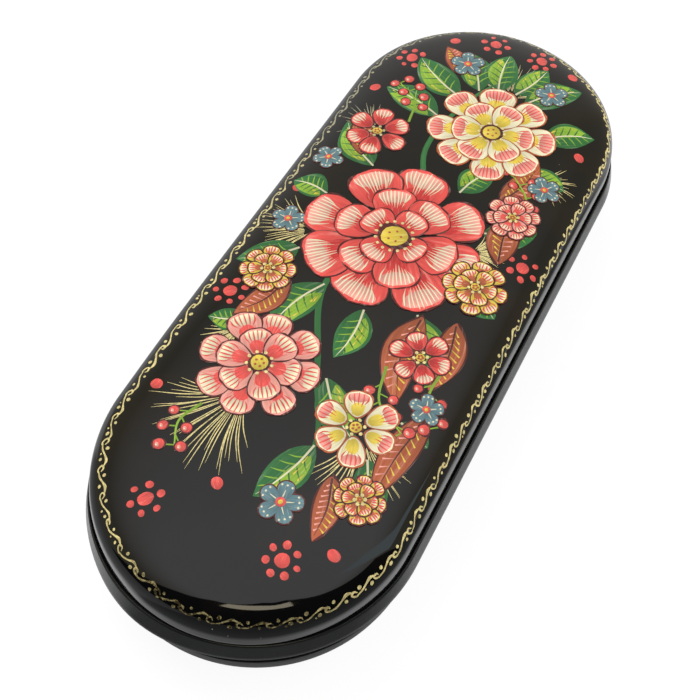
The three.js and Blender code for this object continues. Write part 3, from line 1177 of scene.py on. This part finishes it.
# Leaves: root, angle, length and width, bend
LEAVES = (
    ((58, -8), -0.75, (15, 8.5), 0.9),
    ((60, -5), -0.30, (12, 7.5), -0.6),
    ((59, -1), 0.18, (13, 8), 0.6),
    ((57, 3), 0.62, (13.5, 8), -0.7),
    ((53, 6), 1.05, (16, 8.5), 0.9),
    ((45, 8), 1.35, (15, 8), -0.8),
    ((50, -16), -1.0, (12, 7.5), 0.8),
    ((40, -17), -1.75, (9, 6.5), -0.5),
    ((24, 14), 0.85, (15, 8), 1.2),
    ((12, 19), 1.5, (8.5, 7), -0.6),
    ((-4, 17), 2.25, (13, 8), 0.9),
    ((-10, 8), 2.85, (15, 8), -1.0),
    ((-12, -2), 3.15, (13, 7), 0.8),
    ((-8, -12), -2.6, (17, 8.5), 1.2),
    ((2, -17), -1.9, (9.5, 7), 0.7),
    ((18, -15), -1.0, (12, 7.5), -0.9),
    ((26, -6), -0.4, (11, 7), 0.7),
    ((-25, 17.5), 1.95, (7.5, 5.5), 0.5),
    ((-30, -3), -2.3, (15, 7.5), -0.9),
    ((-44, -8), 2.8, (15, 7.5), 0.9),
    ((-42, -18), -2.5, (12, 6.5), -0.6),
    ((-32, -20), -1.9, (7, 5), 0.4),
)

# Autumn leaves, in the same way
HUSKS = (
    ((-8, -13), -2.95, (21, 7.5), -1.6),
    ((-6, -20), -3.05, (17, 6), 1.0),
    ((12, -21), 0.12, (16, 6.5), 0.8),
    ((28, -15), -0.25, (14, 6), -0.8),
    ((-48, -14), -2.95, (13, 5), 0.8),
    ((-12, 15), 2.75, (14, 6), 1.2),
    ((26, 18), 0.55, (12, 5.5), -0.9),
    ((60, 9), 0.75, (10, 5), -0.7),
    ((-28, -24), 3.05, (21, 6), -0.6),
)

# Sprays of berries: root, angle, reach and number
SPRAYS = (
    ((-22, -12), -2.75, 15, 7),
    ((40, 13), 0.35, 13, 7),
    ((-46, 15), 2.9, 10, 5),
    ((24, -20), 0.15, 13, 6),
    ((-18, -22), -3.0, 12, 5),
)

# Small flowers: heart, radius and turn
STARFLOWERS = (
    ((2, 23), 3.6, 0.2),
    ((36, -22), 3.6, 0.7),
    ((64, 9), 4.0, 0.4),
    ((-57, -8), 4.2, 0.1),
    ((22, 24), 3.4, 0.9),
    ((64, -12.5), 3.8, 0.5),
    ((-27, -23), 3.4, 0.3),
)

# Blossoms: heart, radius, rings, paints, layer and turn
BLOSSOMS = (
    ((8, 1), 20.0, PEONY_RINGS, CORAL_PAINTS, BLOSSOM_LAYER, 0.0),
    ((46, -5), 14.5, ROSE_RINGS, CREAM_PAINTS, BLOSSOM_LAYER, 0.3),
    ((-33, 10), 12.5, ROSE_RINGS, PINK_PAINTS, BLOSSOM_LAYER, 0.1),
    ((-37, -13), 8.5, DAISY_RINGS, CREAM_PAINTS, BLOSSOM_LAYER, 0.4),
    ((34, 18), 7.5, DAISY_RINGS, CORAL_PAINTS, BLOSSOM_LAYER, 0.2),
    ((-17, -17), 6.5, DAISY_RINGS, CORAL_PAINTS, BLOSSOM_LAYER, 0.6),
    ((4, -19.5), 7.0, ROSE_RINGS, AMBER_PAINTS, TOP_LAYER, 0.2),
    ((25, -19), 6.0, ROSE_RINGS, PINK_PAINTS, TOP_LAYER, 0.5),
    ((-12, 20), 6.0, ROSE_RINGS, AMBER_PAINTS, TOP_LAYER, 0.4),
    ((-50, -20.5), 5.0, ROSE_RINGS, AMBER_PAINTS, TOP_LAYER, 0.3),
)

# Rosettes of dots: place and number of dots in the ring
ROSETTES = (
    ((-67.4, 13.9), 6),
    ((-66.4, -13.5), 7),
    ((-20.3, 23.9), 7),
    ((14, -26), 6),
    ((74, -6), 7),
    ((74, 6), 6),
    ((60, 21.8), 7),
)

# Single dots, and their width
DOTS = (
    (-61.4, -21.1),
    (-59, 4),
    (-46, 25),
    (49.2, -25.2),
    (47, 25),
    (70.5, 15.2),
    (72.8, -14.5),
    (11, 25.6),
)
DOT_WIDTH = 2.4


def paint_garland(brush):
    """The whole garland: gold fans, leaves and husks, then flowers, berries and dots."""
    for fan in GOLD_FANS:
        paint_gold_fan(brush, *fan)
    brush.stroke("dark_green", VINE, VINE_WIDTHS, VINE_LAYER, steps=10)
    for root, angle, size, bend in LEAVES:
        paint_leaf(brush, root, angle, size, LEAF_LAYER, bend)
    for root, angle, size, bend in HUSKS:
        paint_husk(brush, root, angle, size, HUSK_LAYER, bend)
    for spray in SPRAYS:
        paint_spray(brush, *spray, SPRAY_LAYER)
    for heart, radius, turn in STARFLOWERS:
        paint_starflower(brush, heart, radius, STAR_LAYER, turn)
    for blossom in BLOSSOMS:
        paint_blossom(brush, *blossom)
    for place, petals in ROSETTES:
        paint_rosette(brush, place, petals)
    for place in DOTS:
        brush.dot("coral", place, DOT_WIDTH)


def paint_scroll(brush, pitch, start):
    """One scroll of the border: a hook, a long swelling stroke, and a dot on each side of it."""

    def near(amount):
        """A small change of the hand."""
        return brush.hand.uniform(-amount, amount)

    swing = 1 + near(0.16)
    heavy = 0.98 + near(0.22)
    curl = 1 + near(0.3)
    hook = [
        (0.20 * curl, 0.18),
        (0.14, -0.30 * curl),
        (0.02, -0.22),
        (0.02, 0.30),
        (0.15, 0.66 * curl),
        (0.30, 0.50),
    ]
    points = [(start + (at + near(0.015)) * pitch, side * swing + near(0.06)) for at, side in hook]
    widths = (0.14, 0.34, 0.42, 0.36, 0.32, 0.16)
    brush.stroke("gold", points, [width * heavy for width in widths], 0, steps=4)
    sweep_line = [(0.18, 0.62), (0.40, 0.44), (0.62, -0.16), (0.84, -0.62), (1.04, -0.40)]
    points = [(start + (at + near(0.02)) * pitch, side * swing + near(0.08)) for at, side in sweep_line]
    widths = (0.16, 0.34, 0.30 + near(0.08), 0.52, 0.22)
    brush.stroke("gold", points, [width * heavy for width in widths], 0, steps=4)
    for at, side in ((0.40, -0.58), (0.78, 0.50)):
        place = (start + (at + near(0.06)) * pitch, side * swing + near(0.12))
        brush.dot("gold", place, 0.68 + near(0.16), 0)
    if brush.hand.random() < 0.3:
        place = (start + (0.58 + near(0.05)) * pitch, 0.72 + near(0.1))
        brush.dot("gold", place, 0.36 + near(0.08), 0)


# Soft lining


def ripple(bm, sizes):
    """Moves a lining's points a little, as cloth over padding lies."""
    bmesh.ops.recalc_face_normals(bm, faces=bm.faces)
    bm.normal_update()
    for vert in bm.verts:
        place = vert.co * sizes.ripple_scale
        swell = noise.noise(place) + 0.5 * noise.noise(place * sizes.finer)
        vert.co += vert.normal * swell * sizes.ripple


# Operators


class CASE_OT_lid_shell(Operator):
    """Builds the polished lid with its hinge recesses"""

    bl_idname = "case.lid_shell"
    bl_label = "Lid shell"

    def execute(self, context):
        """Sweeps the lid's section and cuts the recesses."""
        sizes = settings().lid
        bottom = LID_LOW.z
        edge = sizes.edge_radius
        inner = LID_RADIUS - sizes.wall
        outer = LID_RADIUS + sizes.flare
        side = (outer - sizes.side_lean, bottom + sizes.side_height)
        ceiling = LID_HIGH.z - sizes.ceiling
        inner_side = bottom + sizes.inner_side
        profile = [
            *lid_curve(CURVE_STEPS),
            *line(side, (outer, bottom + edge), 4),
            *arc((outer - edge, bottom + edge), edge, 0, -90),
            *arc((inner + edge / 2, bottom + edge / 2), edge / 2, -90, -90, 4),
            *bezier(
                (inner, inner_side),
                (inner, inner_side + sizes.inner_rise),
                (sizes.crown_reach, ceiling),
                (0, ceiling),
                24,
            ),
        ]
        leaf_room = settings().hinge.leaf_seat
        shell = sweep(profile)
        for vert in shell.verts:
            vert.co = as_made(vert.co)
        shell = carve(shell, hinge_recesses(bottom - CUT_PAST, bottom + leaf_room))
        gloss = material_named("polished_black", mix_gloss_lacquer)
        add_piece("lacquered_lid", shell, gloss, "lid", ["lid_shell"])
        return {"FINISHED"}


class CASE_OT_base(Operator):
    """Builds the tray, the band round its rim and the sleeve inside"""

    bl_idname = "case.base"
    bl_label = "Tray, band and sleeve"

    def execute(self, context):
        """Sweeps the three sections and cuts the band's recesses."""
        sizes = settings().base
        finish = settings().finish
        satin = mix_satin_lacquer("rubbed_black", finish.satin, dullness=0.12, index=1.47)
        # The tray is a darker copy of the band's satin, painted shade under the band
        under = mix_satin_lacquer("tray_black", finish.tray, dullness=0.2, index=1.38)
        dark = material_named("sleeve_black", mix_sleeve_lacquer)
        tray = sweep(self.tray_profile(sizes))
        add_piece("lacquered_tray", tray, under, "base", ["tray_shell"])
        top = RIM_HIGH.z
        leaf_room = settings().hinge.leaf_seat
        band = sweep(self.band_profile(sizes), True)
        for vert in band.verts:
            vert.co = self.swollen(vert.co, sizes)
        band = carve(band, hinge_recesses(top - leaf_room, top + CUT_PAST))
        add_piece("lacquered_band", band, satin, "base", ["base_rim"])
        sleeve = sweep(self.sleeve_profile(sizes), True)
        add_piece("lacquered_sleeve", sleeve, dark, "base", ["inner_sleeve"])
        return {"FINISHED"}

    @staticmethod
    def tray_profile(sizes):
        """The tray, from the middle of its underside to the middle of its floor."""
        radius = TRAY_HIGH.y
        top = TRAY_HIGH.z
        corner = sizes.tray_corner
        inner = radius - sizes.tray_wall
        shoulder = sizes.tray_shoulder
        neck = radius - sizes.lip_step
        lip, edge = top - sizes.lip_drop, sizes.lip_edge
        inner_corner = sizes.tray_inner_corner
        hollow, floor = inner - inner_corner, sizes.tray_floor
        return [
            (0, 0),
            *line((0, 0), (radius - corner, 0), 6),
            *arc((radius - corner, corner), corner, -90, 90, 16),
            *arc((radius - edge, lip - edge), edge, 0, 90, 4),
            (neck, lip),
            *arc((neck - shoulder, top - shoulder), shoulder, 0, 90, 8),
            (inner, top),
            *arc((hollow, floor + inner_corner), inner_corner, 0, -90, 8),
            *line((hollow, floor), (0, floor), 6),
            (0, floor),
        ]

    @staticmethod
    def band_profile(sizes):
        """The band under the lid, all round its section."""
        radius = RIM_HIGH.y
        bottom, top = RIM_LOW.z, RIM_HIGH.z
        inner = TRAY_HIGH.y - sizes.tray_wall
        lower, upper = sizes.rim_lower_edge, sizes.rim_upper_edge
        ledge = top - sizes.ledge_drop
        groove = LID_RADIUS + sizes.groove_reach
        floor = top - sizes.groove_depth
        small = sizes.edge_radius
        return [
            (inner, bottom),
            *arc((radius - lower, bottom + lower), lower, -90, 90, 8),
            *line((radius, bottom + lower), (radius - sizes.face_slant, ledge - upper), 5),
            *arc((radius - sizes.face_slant - upper, ledge - upper), upper, 8, 74, 6),
            *arc((groove + small, top - sizes.ridge_drop - small), small, 78, 100, 5),
            *arc((groove - small, floor + small), small, 0, -90, 4),
            *arc((groove - sizes.groove_width + small, floor + small), small, -90, -90, 4),
            (groove - sizes.groove_width, top),
            (inner, top),
        ]

    @staticmethod
    def swollen(place, sizes):
        """Where the hand-made band has a point of its face: further out at one corner."""
        away = Vector((place.x + END_X, place.y, 0))
        if away.x >= 0:
            return place
        groove = LID_RADIUS + sizes.groove_reach
        share = share_of(away.length - groove, RIM_HIGH.y - groove)
        corner = gathered(math.atan2(away.y, away.x), SWELL_TURN, SWELL_FOCUS)
        return place + away.normalized() * sizes.corner_swell * share * corner

    @staticmethod
    def sleeve_profile(sizes):
        """The sleeve that the lid closes over, with a rounded top."""
        outer = SLEEVE_HIGH.y
        inner = outer - sizes.sleeve_wall
        bottom, top = SLEEVE_LOW.z, SLEEVE_HIGH.z
        small = sizes.edge_radius
        return [
            (inner, bottom),
            (outer, bottom),
            *line((outer, bottom), (outer, top - small), 6),
            *arc((outer - small, top - small), small, 0, 90, 5),
            *arc((inner + small, top - small), small, 90, 90, 5),
            *line((inner, top - small), (inner, bottom), 6),
        ]


class CASE_OT_lining(Operator):
    """Builds the three velvet linings as soft forms"""

    bl_idname = "case.lining"
    bl_label = "Velvet lining"

    def execute(self, context):
        """Sweeps each lining's crowned section and lets it ripple."""
        sizes = settings().lining
        velvet = material_named("pile_velvet", mix_velvet)
        for name, profile, closed, body, node in (
            ("velvet_floor", self.floor_profile(sizes), False, "base", "tray_floor_lining"),
            ("velvet_wall", self.wall_profile(sizes), True, "base", "tray_wall_lining"),
            ("velvet_lid", self.lid_profile(sizes), False, "lid", "lid_lining"),
        ):
            lining = sweep(profile, closed)
            ripple(lining, sizes)
            piece = add_piece(name, lining, velvet, body, [node])
        return {"FINISHED"}

    @staticmethod
    def floor_profile(sizes):
        """A pad that is flat below and crowned above, and rolls over at its edge."""
        radius = FLOOR_HIGH.y - sizes.floor_gap
        bottom, top = FLOOR_LOW.z + sizes.floor_lift, FLOOR_HIGH.z
        roll = sizes.floor_roll
        edge = (radius - roll, bottom + 2 * roll)
        return [
            (0, bottom),
            *line((0, bottom), (radius - roll, bottom), 12),
            *arc((radius - roll, bottom + roll), roll, -90, 180, 8),
            *bezier(edge, (radius * 0.9, top), (radius * 0.6, top), (0, top), 18)[1:],
        ]

    @staticmethod
    def wall_profile(sizes):
        """A band that stands inside the sleeve, swelling a little between its rolled edges."""
        outer = WALL_HIGH.y - sizes.wall_gap
        inner = outer - sizes.cloth
        bottom, top = WALL_LOW.z + sizes.wall_foot, WALL_HIGH.z - sizes.wall_head
        roll = sizes.cloth / 2
        full = inner - sizes.wall_swell
        return [
            *line((outer, bottom), (outer, top - roll), 12),
            *arc((outer - roll, top - roll), roll, 0, 180, 8),
            *bezier((inner, top - roll), (full, top * 0.7), (full, top * 0.4), (inner, bottom + roll), 14),
            *arc((inner + roll, bottom + roll), roll, 180, 90, 5),
        ]

    @staticmethod
    def lid_profile(sizes):
        """A sheet under the crown, puffed a little, with a rolled edge."""
        lid = settings().lid
        inner = LID_RADIUS - lid.wall
        ceiling = LID_HIGH.z - lid.ceiling - sizes.lid_gap
        side = LID_LOW.z + lid.inner_side - sizes.lid_gap
        guides = ((lid.crown_reach, ceiling), (inner, side + lid.inner_rise))
        dome = bezier((0, ceiling), *guides, (inner, side), 40)
        upper = [point for point in dome if point[0] < LID_LINING_REACH - sizes.lid_margin]
        radius, height = upper[-1]
        roll = sizes.cloth / 2
        edge = arc((radius, height - roll), roll, 90, -180, 8)
        lower = [(r, z - sizes.cloth) for r, z in reversed(upper)]
        return [*upper, *edge[1:-1], *lower]


class CASE_OT_hinges(Operator):
    """Gives the hinges their brass"""

    bl_idname = "case.hinges"
    bl_label = "Brass hinges"

    def execute(self, context):
        """Puts brass on every leaf, nail and pin."""
        brass = material_named("aged_brass", mix_brass)
        found = [node for name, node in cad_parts.items() if name.startswith("hinge_")]
        if not found:
            raise RuntimeError("the frame has no hinges")
        for node in found:
            node.material_slots[0].material = brass
        return {"FINISHED"}


class CASE_OT_border(Operator):
    """Paints the gold scroll round the lid's shoulder"""

    bl_idname = "case.border"
    bl_label = "Gold border"

    def execute(self, context):
        """Paints the scrolls on a flat strip and wraps it round the lid."""
        sizes = settings().border
        surface = LidSurface()
        radius = sizes.path_radius
        straight = 2 * END_X
        bend = math.pi * radius
        total = 2 * (straight + bend)

        def along_path(run):
            """The centre and the turn of the path after a run."""
            run %= total
            if run < straight:
                return run - END_X, -math.pi / 2
            if run < straight + bend:
                return END_X, (run - straight) / radius - math.pi / 2
            if run < 2 * straight + bend:
                return END_X - (run - straight - bend), math.pi / 2
            return -END_X, (run - 2 * straight - bend) / radius + math.pi / 2

        marks = [0.0]
        while marks[-1] < total:
            side = max(math.sin(along_path(marks[-1])[1]), 0)
            marks.append(marks[-1] + sizes.pitch * (1 + sizes.stretch * side))
        fit = total / marks[-1] / MM
        brush = Brush(sizes.seed)
        for start, end in zip(marks, marks[1:]):
            paint_scroll(brush, (end - start) * fit, start * fit)

        def on_border(run, down, lift):
            """Where a point of the strip lies on the shoulder."""
            centre_x, turn = along_path(run)
            sway = sizes.hinge_sway if math.sin(turn) > 0 else sizes.front_sway
            corner = sizes.corner * gathered(turn, CORNER_TURN, SCROLL_FOCUS)
            near = sizes.near_sway * gathered(turn, NEAR_TURN, SCROLL_FOCUS)
            inset = sizes.inset + sway * math.sin(turn) + corner - near
            return surface.on_shoulder(centre_x, turn, surface.at_inset(inset) + down, lift)

        gold = material_named("gold_leaf", mix_gold)
        for _, pot in brush.pieces(on_border):
            add_piece("gold_border", pot, gold, "lid")
        return {"FINISHED"}


class CASE_OT_painting(Operator):
    """Paints the garland on the lid, one piece for each paint"""

    bl_idname = "case.painting"
    bl_label = "Painted garland"

    def execute(self, context):
        """Paints flat and lays each paint on the dome."""
        surface = LidSurface()
        brush = Brush(GARLAND_SEED)
        paint_garland(brush)
        for paint, pot in brush.pieces(surface.on_crown):
            name = "paint_" + paint
            if paint == "gold":
                material = material_named("gold_leaf", mix_gold)
            else:
                material = mix_paint(name, getattr(settings().paint, paint))
            add_piece(name, pot, material, "lid")
        return {"FINISHED"}


# Half the floor's width, its colour where the gloss shows it dimmed, and the light that it gives itself:
# in the gloss, and to the camera
FLOOR_HALF = 4
DIM_FLOOR = (0.10, 0.105, 0.105)
FLOOR_GLOW = 0.2
CAMERA_GLOW = 0.70

# Light from all round, as a share of what is seen
WORLD_LIGHT = 0.55

# Lamps: name, place, size and power
LAMPS = (
    ("key_lamp", (0.25, 0.55, 0.9), 0.8, 5.5),
    ("fill_lamp", (0.1, -0.7, 0.8), 0.8, 3.0),
)

# The direction in which the surround is clearest, and the dark panel's height along its turn in degrees
SURROUND_FACING = (0.866, 0.5, 0)
DARK_TOPS = (2, 24, 56, 68, 70, 73, 76, 75, 76, 72, 65, 60, 56, 54)

# The light of the surround, its strength, and the light that the dark panel gives back
SURROUND_LIGHT = (1.0, 0.78, 0.22)
SURROUND_STRENGTH = 0.24
PANEL_BLACK = (0.002, 0.002, 0.002)

# Strips of light: name, colour, strength, distance, turns, lower edge and upper edge in degrees
STRIPS = (
    ("warm_strip", (1.0, 0.9, 0.66), 4.0, 0.85, (176, 226), 62.5, (69, 70.5, 71, 70, 71.5)),
    ("cool_strip", (0.8, 0.95, 1.0), 1.25, 0.88, (286, 303), 40, (76, 70)),
)


class CASE_OT_stage(Operator):
    """Sets the floor, the light and the camera"""

    bl_idname = "case.stage"
    bl_label = "Stage"

    def execute(self, context):
        """Makes each part of the stage."""
        context.scene.view_settings.view_transform = "Standard"
        self.add_floor(context)
        self.add_world(context)
        self.add_panels(context)
        self.add_lamps(context)
        self.add_camera(context)
        return {"FINISHED"}

    @staticmethod
    def add_prop(context, name, bm, material):
        """Makes a mesh a part of the stage."""
        mesh = bpy.data.meshes.new(name)
        bm.to_mesh(mesh)
        bm.free()
        mesh.materials.append(material)
        prop = bpy.data.objects.new(name, mesh)
        context.scene.collection.objects.link(prop)
        return prop

    @staticmethod
    def floor_shade(mixture):
        """How dim the gloss shows the floor: at the near end's foot, before the case and behind it."""
        along = mixture.part(mixture.place(), 0)
        across = mixture.part(mixture.place(), 1)
        past = mixture.larger(mixture.node("Math", {"operation": "ABSOLUTE"}, {0: along}) - END_X, 0.0)
        flat = mixture.node("CombineXYZ", None, {0: past, 1: across})
        away = mixture.node("VectorMath", {"operation": "LENGTH"}, {0: flat}, 1) - RIM_HIGH.y
        near_end = mixture.fade(along, -45 * MM, -60 * MM)
        foot = mixture.fade(away, 8 * MM, -4 * MM) * near_end * 0.7
        # The shade begins closer to the case round the near tip
        closer = mixture.fade(across, 28 * MM, 16 * MM) * (9 * MM) - 2 * MM
        away = away + mixture.fade(along, -45 * MM, -72 * MM) * closer
        near_side = near_end * (1 - mixture.fade(across, 10 * MM, 30 * MM) * 0.26)
        sides = mixture.larger(mixture.fade(across, 35 * MM, 20 * MM), near_side)
        front = mixture.larger(mixture.fade(away, 10 * MM, 21 * MM) * sides, foot)
        front = front * mixture.fade(along, 105 * MM, 70 * MM) * 0.93
        # Across the hinge side the shade swells and falls again over 300 mm
        run = across * (1 / (300 * MM)) + 0.5
        behind = mixture.ramp(run, (0.56, 0.0), (0.62, 0.62), (0.7, 0.56), (0.9, 0.3))
        behind = behind * mixture.fade(along, -70 * MM, -45 * MM)
        return mixture.larger(front, behind)

    def add_floor(self, context):
        """A wide pale floor that is white to the camera and keeps the shadow, and is dimmer in the gloss."""
        bm = bmesh.new()
        bmesh.ops.create_grid(bm, x_segments=1, y_segments=1, size=FLOOR_HALF)
        mixture = Mixture(bpy.data.materials.new("floor"))
        shade = settings().finish.floor
        camera = mixture.node("LightPath", output=CAMERA_RAY)
        dim = self.floor_shade(mixture) * mixture.node("LightPath", output=GLOSSY_RAY)
        tone = mixture.blend(camera, shade, toned(shade, 0.2))
        paper = mixture.node("BsdfDiffuse", None, {"Color": mixture.blend(dim, tone, DIM_FLOOR)})
        level = FLOOR_GLOW * mixture.seen_rays() * (1 - dim) + CAMERA_GLOW * camera
        whole = mixture.node("AddShader", None, {0: paper, 1: mixture.glow((1, 1, 1), level)})
        self.add_prop(context, "floor", bm, mixture.finished(whole))

    def add_panels(self, context):
        """A dim surround, a dark panel behind the camera and two strips, which show only in the gloss."""
        mixture = Mixture(bpy.data.materials.new("dim_surround"))
        place = mixture.place()
        facing = mixture.node("VectorMath", {"operation": "DOT_PRODUCT"}, {0: place, 1: SURROUND_FACING}, 1)
        low = mixture.ramp(mixture.part(place, 2), (0.70, 0.75), (0.80, 0.5), (0.87, 0.26), (0.935, 0.0))
        veil = low * mixture.ramp(facing, (0.66, 1.0), (0.84, 0.3))
        clear = mixture.node("BsdfTransparent")
        light = mixture.glow(SURROUND_LIGHT, SURROUND_STRENGTH)
        dim = mixture.finished(mixture.node("MixShader", None, {0: veil, 1: clear, 2: light}))
        self.add_panel(context, "dim_surround", 1.0, (0, 360), 1, [70, 70], dim)

        mixture = Mixture(bpy.data.materials.new("dark_panel"))
        black = mixture.finished(mixture.node("BsdfDiffuse", None, {"Color": rgba(PANEL_BLACK)}))
        self.add_panel(context, "dark_panel", 0.9, (128, 284), 1, DARK_TOPS, black)

        for name, shade, strength, radius, turns, low, tops in STRIPS:
            mixture = Mixture(bpy.data.materials.new(name))
            light = mixture.finished(mixture.glow(shade, strength))
            self.add_panel(context, name, radius, turns, low, tops, light)

    def add_panel(self, context, name, radius, turns, low, tops, material):
        """A panel bent round the case between two turns, from a low angle to tops that vary, in degrees."""
        bm = bmesh.new()
        for vert in bmesh.ops.create_grid(bm, x_segments=72, y_segments=12, size=1)["verts"]:
            across, up = (vert.co.x + 1) / 2, (vert.co.y + 1) / 2
            at = across * (len(tops) - 1)
            before = tops[int(at)]
            after = tops[min(int(at) + 1, len(tops) - 1)]
            top = before + (after - before) * (at - int(at))
            turn = math.radians(turns[0] + (turns[1] - turns[0]) * across)
            rise = math.radians(low + (top - low) * up)
            vert.co = radius * Vector((*polar((0, 0), turn, math.cos(rise)), math.sin(rise)))
        panel = self.add_prop(context, name, bm, material)
        panel.visible_camera = False
        panel.visible_diffuse = False
        panel.visible_shadow = False
        panel.visible_transmission = False

    @staticmethod
    def add_world(context):
        """Even light all round, white where it is seen."""
        world = bpy.data.worlds.new("studio")
        context.scene.world = world
        mixture = Mixture(world)
        level = WORLD_LIGHT + (1 - WORLD_LIGHT) * mixture.seen_rays()
        light = mixture.node("Background", None, {"Color": (1, 1, 1, 1), "Strength": level})
        mixture.node("OutputWorld", None, {"Surface": light})

    @staticmethod
    def add_lamps(context):
        """Two broad soft lamps above the case."""
        for name, place, size, power in LAMPS:
            light = bpy.data.lights.new(name, "AREA")
            light.size = size
            light.energy = power
            lamp = bpy.data.objects.new(name, light)
            lamp.location = place
            lamp.rotation_euler = (-Vector(place)).to_track_quat("-Z", "Y").to_euler()
            lamp.visible_glossy = False
            context.scene.collection.objects.link(lamp)

    @staticmethod
    def add_camera(context):
        """The camera at the picture's viewing angle."""
        place = settings().view
        turn, rise, roll = place.azimuth, place.elevation, place.roll
        back = Vector((math.sin(turn) * math.cos(rise), -math.cos(turn) * math.cos(rise), math.sin(rise)))
        level = Vector((math.cos(turn), math.sin(turn), 0))
        upward = back.cross(level)
        right = level * math.cos(roll) + upward * math.sin(roll)
        up = upward * math.cos(roll) - level * math.sin(roll)
        at = Vector((0, 0, LID_LOW.z)) + back * place.distance
        data = bpy.data.cameras.new("camera")
        data.sensor_width = SENSOR_WIDTH
        data.lens = place.focal_pixels / PHOTO_WIDTH * SENSOR_WIDTH
        data.shift_x = -place.right_pixels / PHOTO_WIDTH
        data.shift_y = place.down_pixels / PHOTO_WIDTH
        data.clip_start = place.nearest
        camera = bpy.data.objects.new("camera", data)
        camera.matrix_world = Matrix((right, up, back)).transposed().to_4x4()
        camera.location = at
        context.scene.collection.objects.link(camera)
        context.scene.camera = camera


# Panel and registration

OPERATORS = (
    CASE_OT_stage,
    CASE_OT_lid_shell,
    CASE_OT_base,
    CASE_OT_lining,
    CASE_OT_hinges,
    CASE_OT_border,
    CASE_OT_painting,
)


class CASE_PT_panel(Panel):
    """Lists the pieces of the case and its sizes and colours"""

    bl_idname = "CASE_PT_panel"
    bl_label = "Spectacle Case"
    bl_space_type = "VIEW_3D"
    bl_region_type = "UI"
    bl_category = "Case"

    def draw(self, context):
        """Draws the buttons, then each group of settings."""
        layout = self.layout
        for operator in OPERATORS:
            layout.operator(operator.bl_idname)
        case = settings()
        for name in ("lid", "base", "lining", "hinge", "border", "paint", "finish", "view"):
            box = layout.box()
            box.label(text=name.capitalize())
            group = getattr(case, name)
            for key in group.bl_rna.properties.keys():
                if key not in ("rna_type", "name"):
                    box.prop(group, key)


CLASSES = (
    LidSizes,
    BaseSizes,
    LiningSizes,
    HingeSizes,
    BorderSizes,
    PaintColours,
    FinishColours,
    ViewPlace,
    CaseSettings,
    *OPERATORS,
    CASE_PT_panel,
)


def register():
    """Registers the classes and the scene's settings."""
    for cls in CLASSES:
        bpy.utils.register_class(cls)
    bpy.types.Scene.spectacle_case = PointerProperty(type=CaseSettings)


def unregister():
    """Takes the settings and the classes away again."""
    del bpy.types.Scene.spectacle_case
    for cls in reversed(CLASSES):
        bpy.utils.unregister_class(cls)


def main():
    """Builds the case."""
    register()
    bpy.ops.case.stage()
    bpy.ops.case.lid_shell()
    bpy.ops.case.base()
    bpy.ops.case.lining()
    bpy.ops.case.hinges()
    bpy.ops.case.border()
    bpy.ops.case.painting()


if __name__ == "__main__":
    main()
